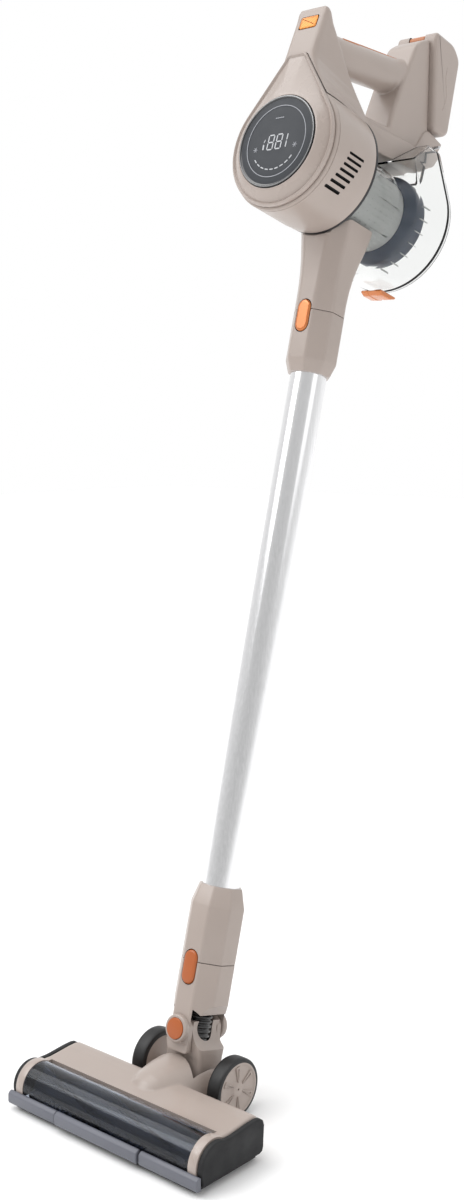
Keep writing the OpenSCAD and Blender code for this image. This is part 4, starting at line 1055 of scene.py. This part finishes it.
for side, tag in ((-1, "left"), (1, "right")):
    x_in, x_out = side * 112.3, side * 118.0
    plate_skin = slab("end_skin_" + tag, cover_section(0.9), *sorted((x_in, x_out)), FLOOR, "x", 1.6, 5, 40)
    dress(painted(plate_skin, m_charcoal), "floor_head", "charcoal", "end_plate_" + tag)
    ring_at = [(103.2, 18.6), (103.2, 21.4), (104, 21.6), (111.4, 21.6), (112.2, 21.2), (112.2, 18.6)]
    ring_at = [(side * x, radius) for x, radius in ring_at]
    end_ring = painted(turned("end_ring_" + tag, ring_at, FLOOR, "x", ROLLER, True), m_gloss)
    cut(end_ring, block(-130, 130, -130, -40, -10, 6, FLOOR))
    dress(shade(end_ring, 32), "floor_head", "taupe_gloss")

# %% [markdown]
# ## Roller
# Four strips wind round the core. Their bristles are copies of one tuft with a small random lean.

# %% Roller
core_profile = [(-99, 0), (-99, 10.6), (-98, 11), (98, 11), (99, 10.6), (99, 0)]
core = painted(turned("core_skin", core_profile, FLOOR, "x", ROLLER), m_core)
dress(core, "roller", "black", "brush_core")
strips = []
TUFTS = 96
for k in range(4):
    tuft = loft("tuft", [[(-1.05, -1.7, 10.6), (1.05, -1.7, 10.6), (1.05, 1.7, 10.6), (-1.05, 1.7, 10.6)],
                         [(-1.0, -0.8, 18.4), (1.0, -0.8, 18.4), (1.0, 0.8, 18.4), (-1.0, 0.8, 18.4)]], FLAT)
    tuft.data.transform(Matrix.Rotation(radians(90 * k), 4, "X"))
    place = shifted(FLOOR, -95, *ROLLER)
    step, turn = (190 / (TUFTS - 1), 0, 0), (radians(1.9), 0, 0)
    strips.append(repeated("tufts", tuft, TUFTS, m_bristle, place, step, turn, radians(1.2), k))
brush = painted(join("brush_skin", strips), m_bristle)
dress(brush, "roller", "brush", "brush_strips")

# %% [markdown]
# ## Wheels
# A hub disc carries six raised double spokes inside a soft tyre with a rounded tread.

# %% Wheels
tyre_profile = [(40.2, 22.5), (40, 25.5), (40.6, 27), (42, 27.8), (44, 28), (51, 28), (53, 27.8),
                (54.4, 27), (55, 25.4), (54.8, 23.6), (53, 22.5)]
hub_profile = [(41, 22.4), (53.2, 23.8), (54.6, 24.4), (55, 24), (55, 22.6), (54.2, 21.8), (53.7, 20),
               (53.6, 8), (54.4, 6.6), (54.7, 5.0), (54.8, 1.0), (41, 1.0)]


def wheel_ring(name, profile, side):
    return turned(name, [(side * x, radius) for x, radius in profile], FLOOR, "x", WHEEL_AT[1:], True, 128)


for side, tag in ((-1, "left"), (1, "right")):
    tyre = wheel_ring("tyre_skin_" + tag, tyre_profile, side)
    dress(painted(tyre, m_tyre), tag + "_wheel", "tyre", "tyre_" + tag)
    hub = wheel_ring("hub", hub_profile, side)
    spoke_side = [(-0.5, 6.5), (0.5, 6.5), (2.9, 20.6), (1.5, 21.2), (-1.5, 21.2), (-2.9, 20.6)]
    spoke = slab("spoke", rounded(spoke_side, 0.6, 3), 52.5, 55.0, FLAT, "x", 0.7, 3)
    groove = rounded([(-0.1, 9), (0.1, 9), (1.2, 19.2), (-1.2, 19.2)], 0.3, 2)
    cut(spoke, tool(groove, 54.2, 56, FLAT, "x", 0.05))
    spokes = repeated("spokes", spoke, 6, m_wheel, FLAT, turn=(radians(60), 0, 0))
    spokes.data.transform(FLOOR @ Matrix.Translation((0, *WHEEL_AT[1:])) @ Matrix.Diagonal((side, 1, 1, 1)))
    if side < 0:
        spokes.data.flip_normals()
    wheel = painted(join("wheel_skin_" + tag, [hub, spokes]), m_wheel)
    dress(shade(wheel, 34), tag + "_wheel", "taupe", "wheel_" + tag)

# %% [markdown]
# ## Camera, light and floor
# The camera looks slightly down from the right of the front. A large soft lamp stands at the left
# and a weaker one at the right. A wide, soft sun stands for the ceiling, and the world is a white
# room that the camera sees at full strength.

# %% Camera, light and floor
CAMERA_AT = (0.86324, -1.17798, -0.33480)
CAMERA_TURN, CAMERA_DIP = radians(41.32), radians(7.36)
camera_data = bpy.data.cameras.new("camera")
camera_data.lens = 43.149
camera = bpy.data.objects.new("camera", camera_data)
camera.location = CAMERA_AT
level = cos(CAMERA_DIP)
gaze = Vector((-sin(CAMERA_TURN) * level, cos(CAMERA_TURN) * level, -sin(CAMERA_DIP)))
camera.rotation_euler = gaze.to_track_quat("-Z", "Y").to_euler()
collection.objects.link(camera)
bpy.context.scene.camera = camera

floor_z = cad_low[2] - 0.0005
floor_corners = [(-8, -8, floor_z), (8, -8, floor_z), (8, 8, floor_z), (-8, 8, floor_z)]
floor = make_mesh("studio_floor", floor_corners, [(0, 1, 2, 3)], FLAT)
paper, paper_tree, paper_shader = start_material("pale_paper")
cloudy = spread(paper_tree, noise(paper_tree, 3.0), 0, 1)
white = mixed(paper_tree, cloudy, (0.955, 0.955, 0.955), (0.965, 0.965, 0.965))
feed(paper_tree, white, paper_shader, "Base Color")
feed(paper_tree, spread(paper_tree, noise(paper_tree, 9.0), 0.85, 0.95), paper_shader, "Roughness")
painted(floor, paper)


def lamp(name, at, aim, size, power):
    data = bpy.data.lights.new(name, "AREA")
    data.size = size
    data.energy = power
    obj = bpy.data.objects.new(name, data)
    obj.location = at
    obj.rotation_euler = (Vector(aim) - Vector(at)).to_track_quat("-Z", "Y").to_euler()
    collection.objects.link(obj)
    return obj


lamp("key_lamp", (-1.4, -2.0, 1.2), (0, 0, -0.4), 1.6, 16)
lamp("side_lamp", (2.4, -0.2, 0.6), (0, 0, -0.3), 1.2, 3)
sun_data = bpy.data.lights.new("ceiling", "SUN")
sun_data.energy = 1.45
sun_data.angle = radians(60)
sun = bpy.data.objects.new("ceiling", sun_data)
sun.rotation_euler = Vector((0.35, 0.35, -1)).to_track_quat("-Z", "Y").to_euler()
collection.objects.link(sun)
world = bpy.data.worlds.new("studio")
bpy.context.scene.world = world
world.use_nodes = True
tree = world.node_tree
backdrop = tree.nodes["Background"]
rays, coords, parts = (tree.nodes.new("ShaderNode" + kind) for kind in
                       ("LightPath", "TexCoord", "VectorMath"))
parts.operation = "DOT_PRODUCT"
parts.inputs[1].default_value = (-0.35, 0.90, 0.25)
tree.links.new(coords.outputs["Generated"], parts.inputs[0])
room = spread(tree, parts.outputs["Value"], 0.55, 1.0, -0.9, 0.9)
strength = tree.nodes.new("ShaderNodeMix")
strength.inputs["B"].default_value = 1.0
tree.links.new(rays.outputs["Is Camera Ray"], strength.inputs["Factor"])
tree.links.new(room, strength.inputs["A"])
tree.links.new(strength.outputs["Result"], backdrop.inputs["Strength"])
backdrop.inputs["Color"].default_value = (1, 1, 1, 1)
bpy.context.scene.view_settings.view_transform = "Standard"
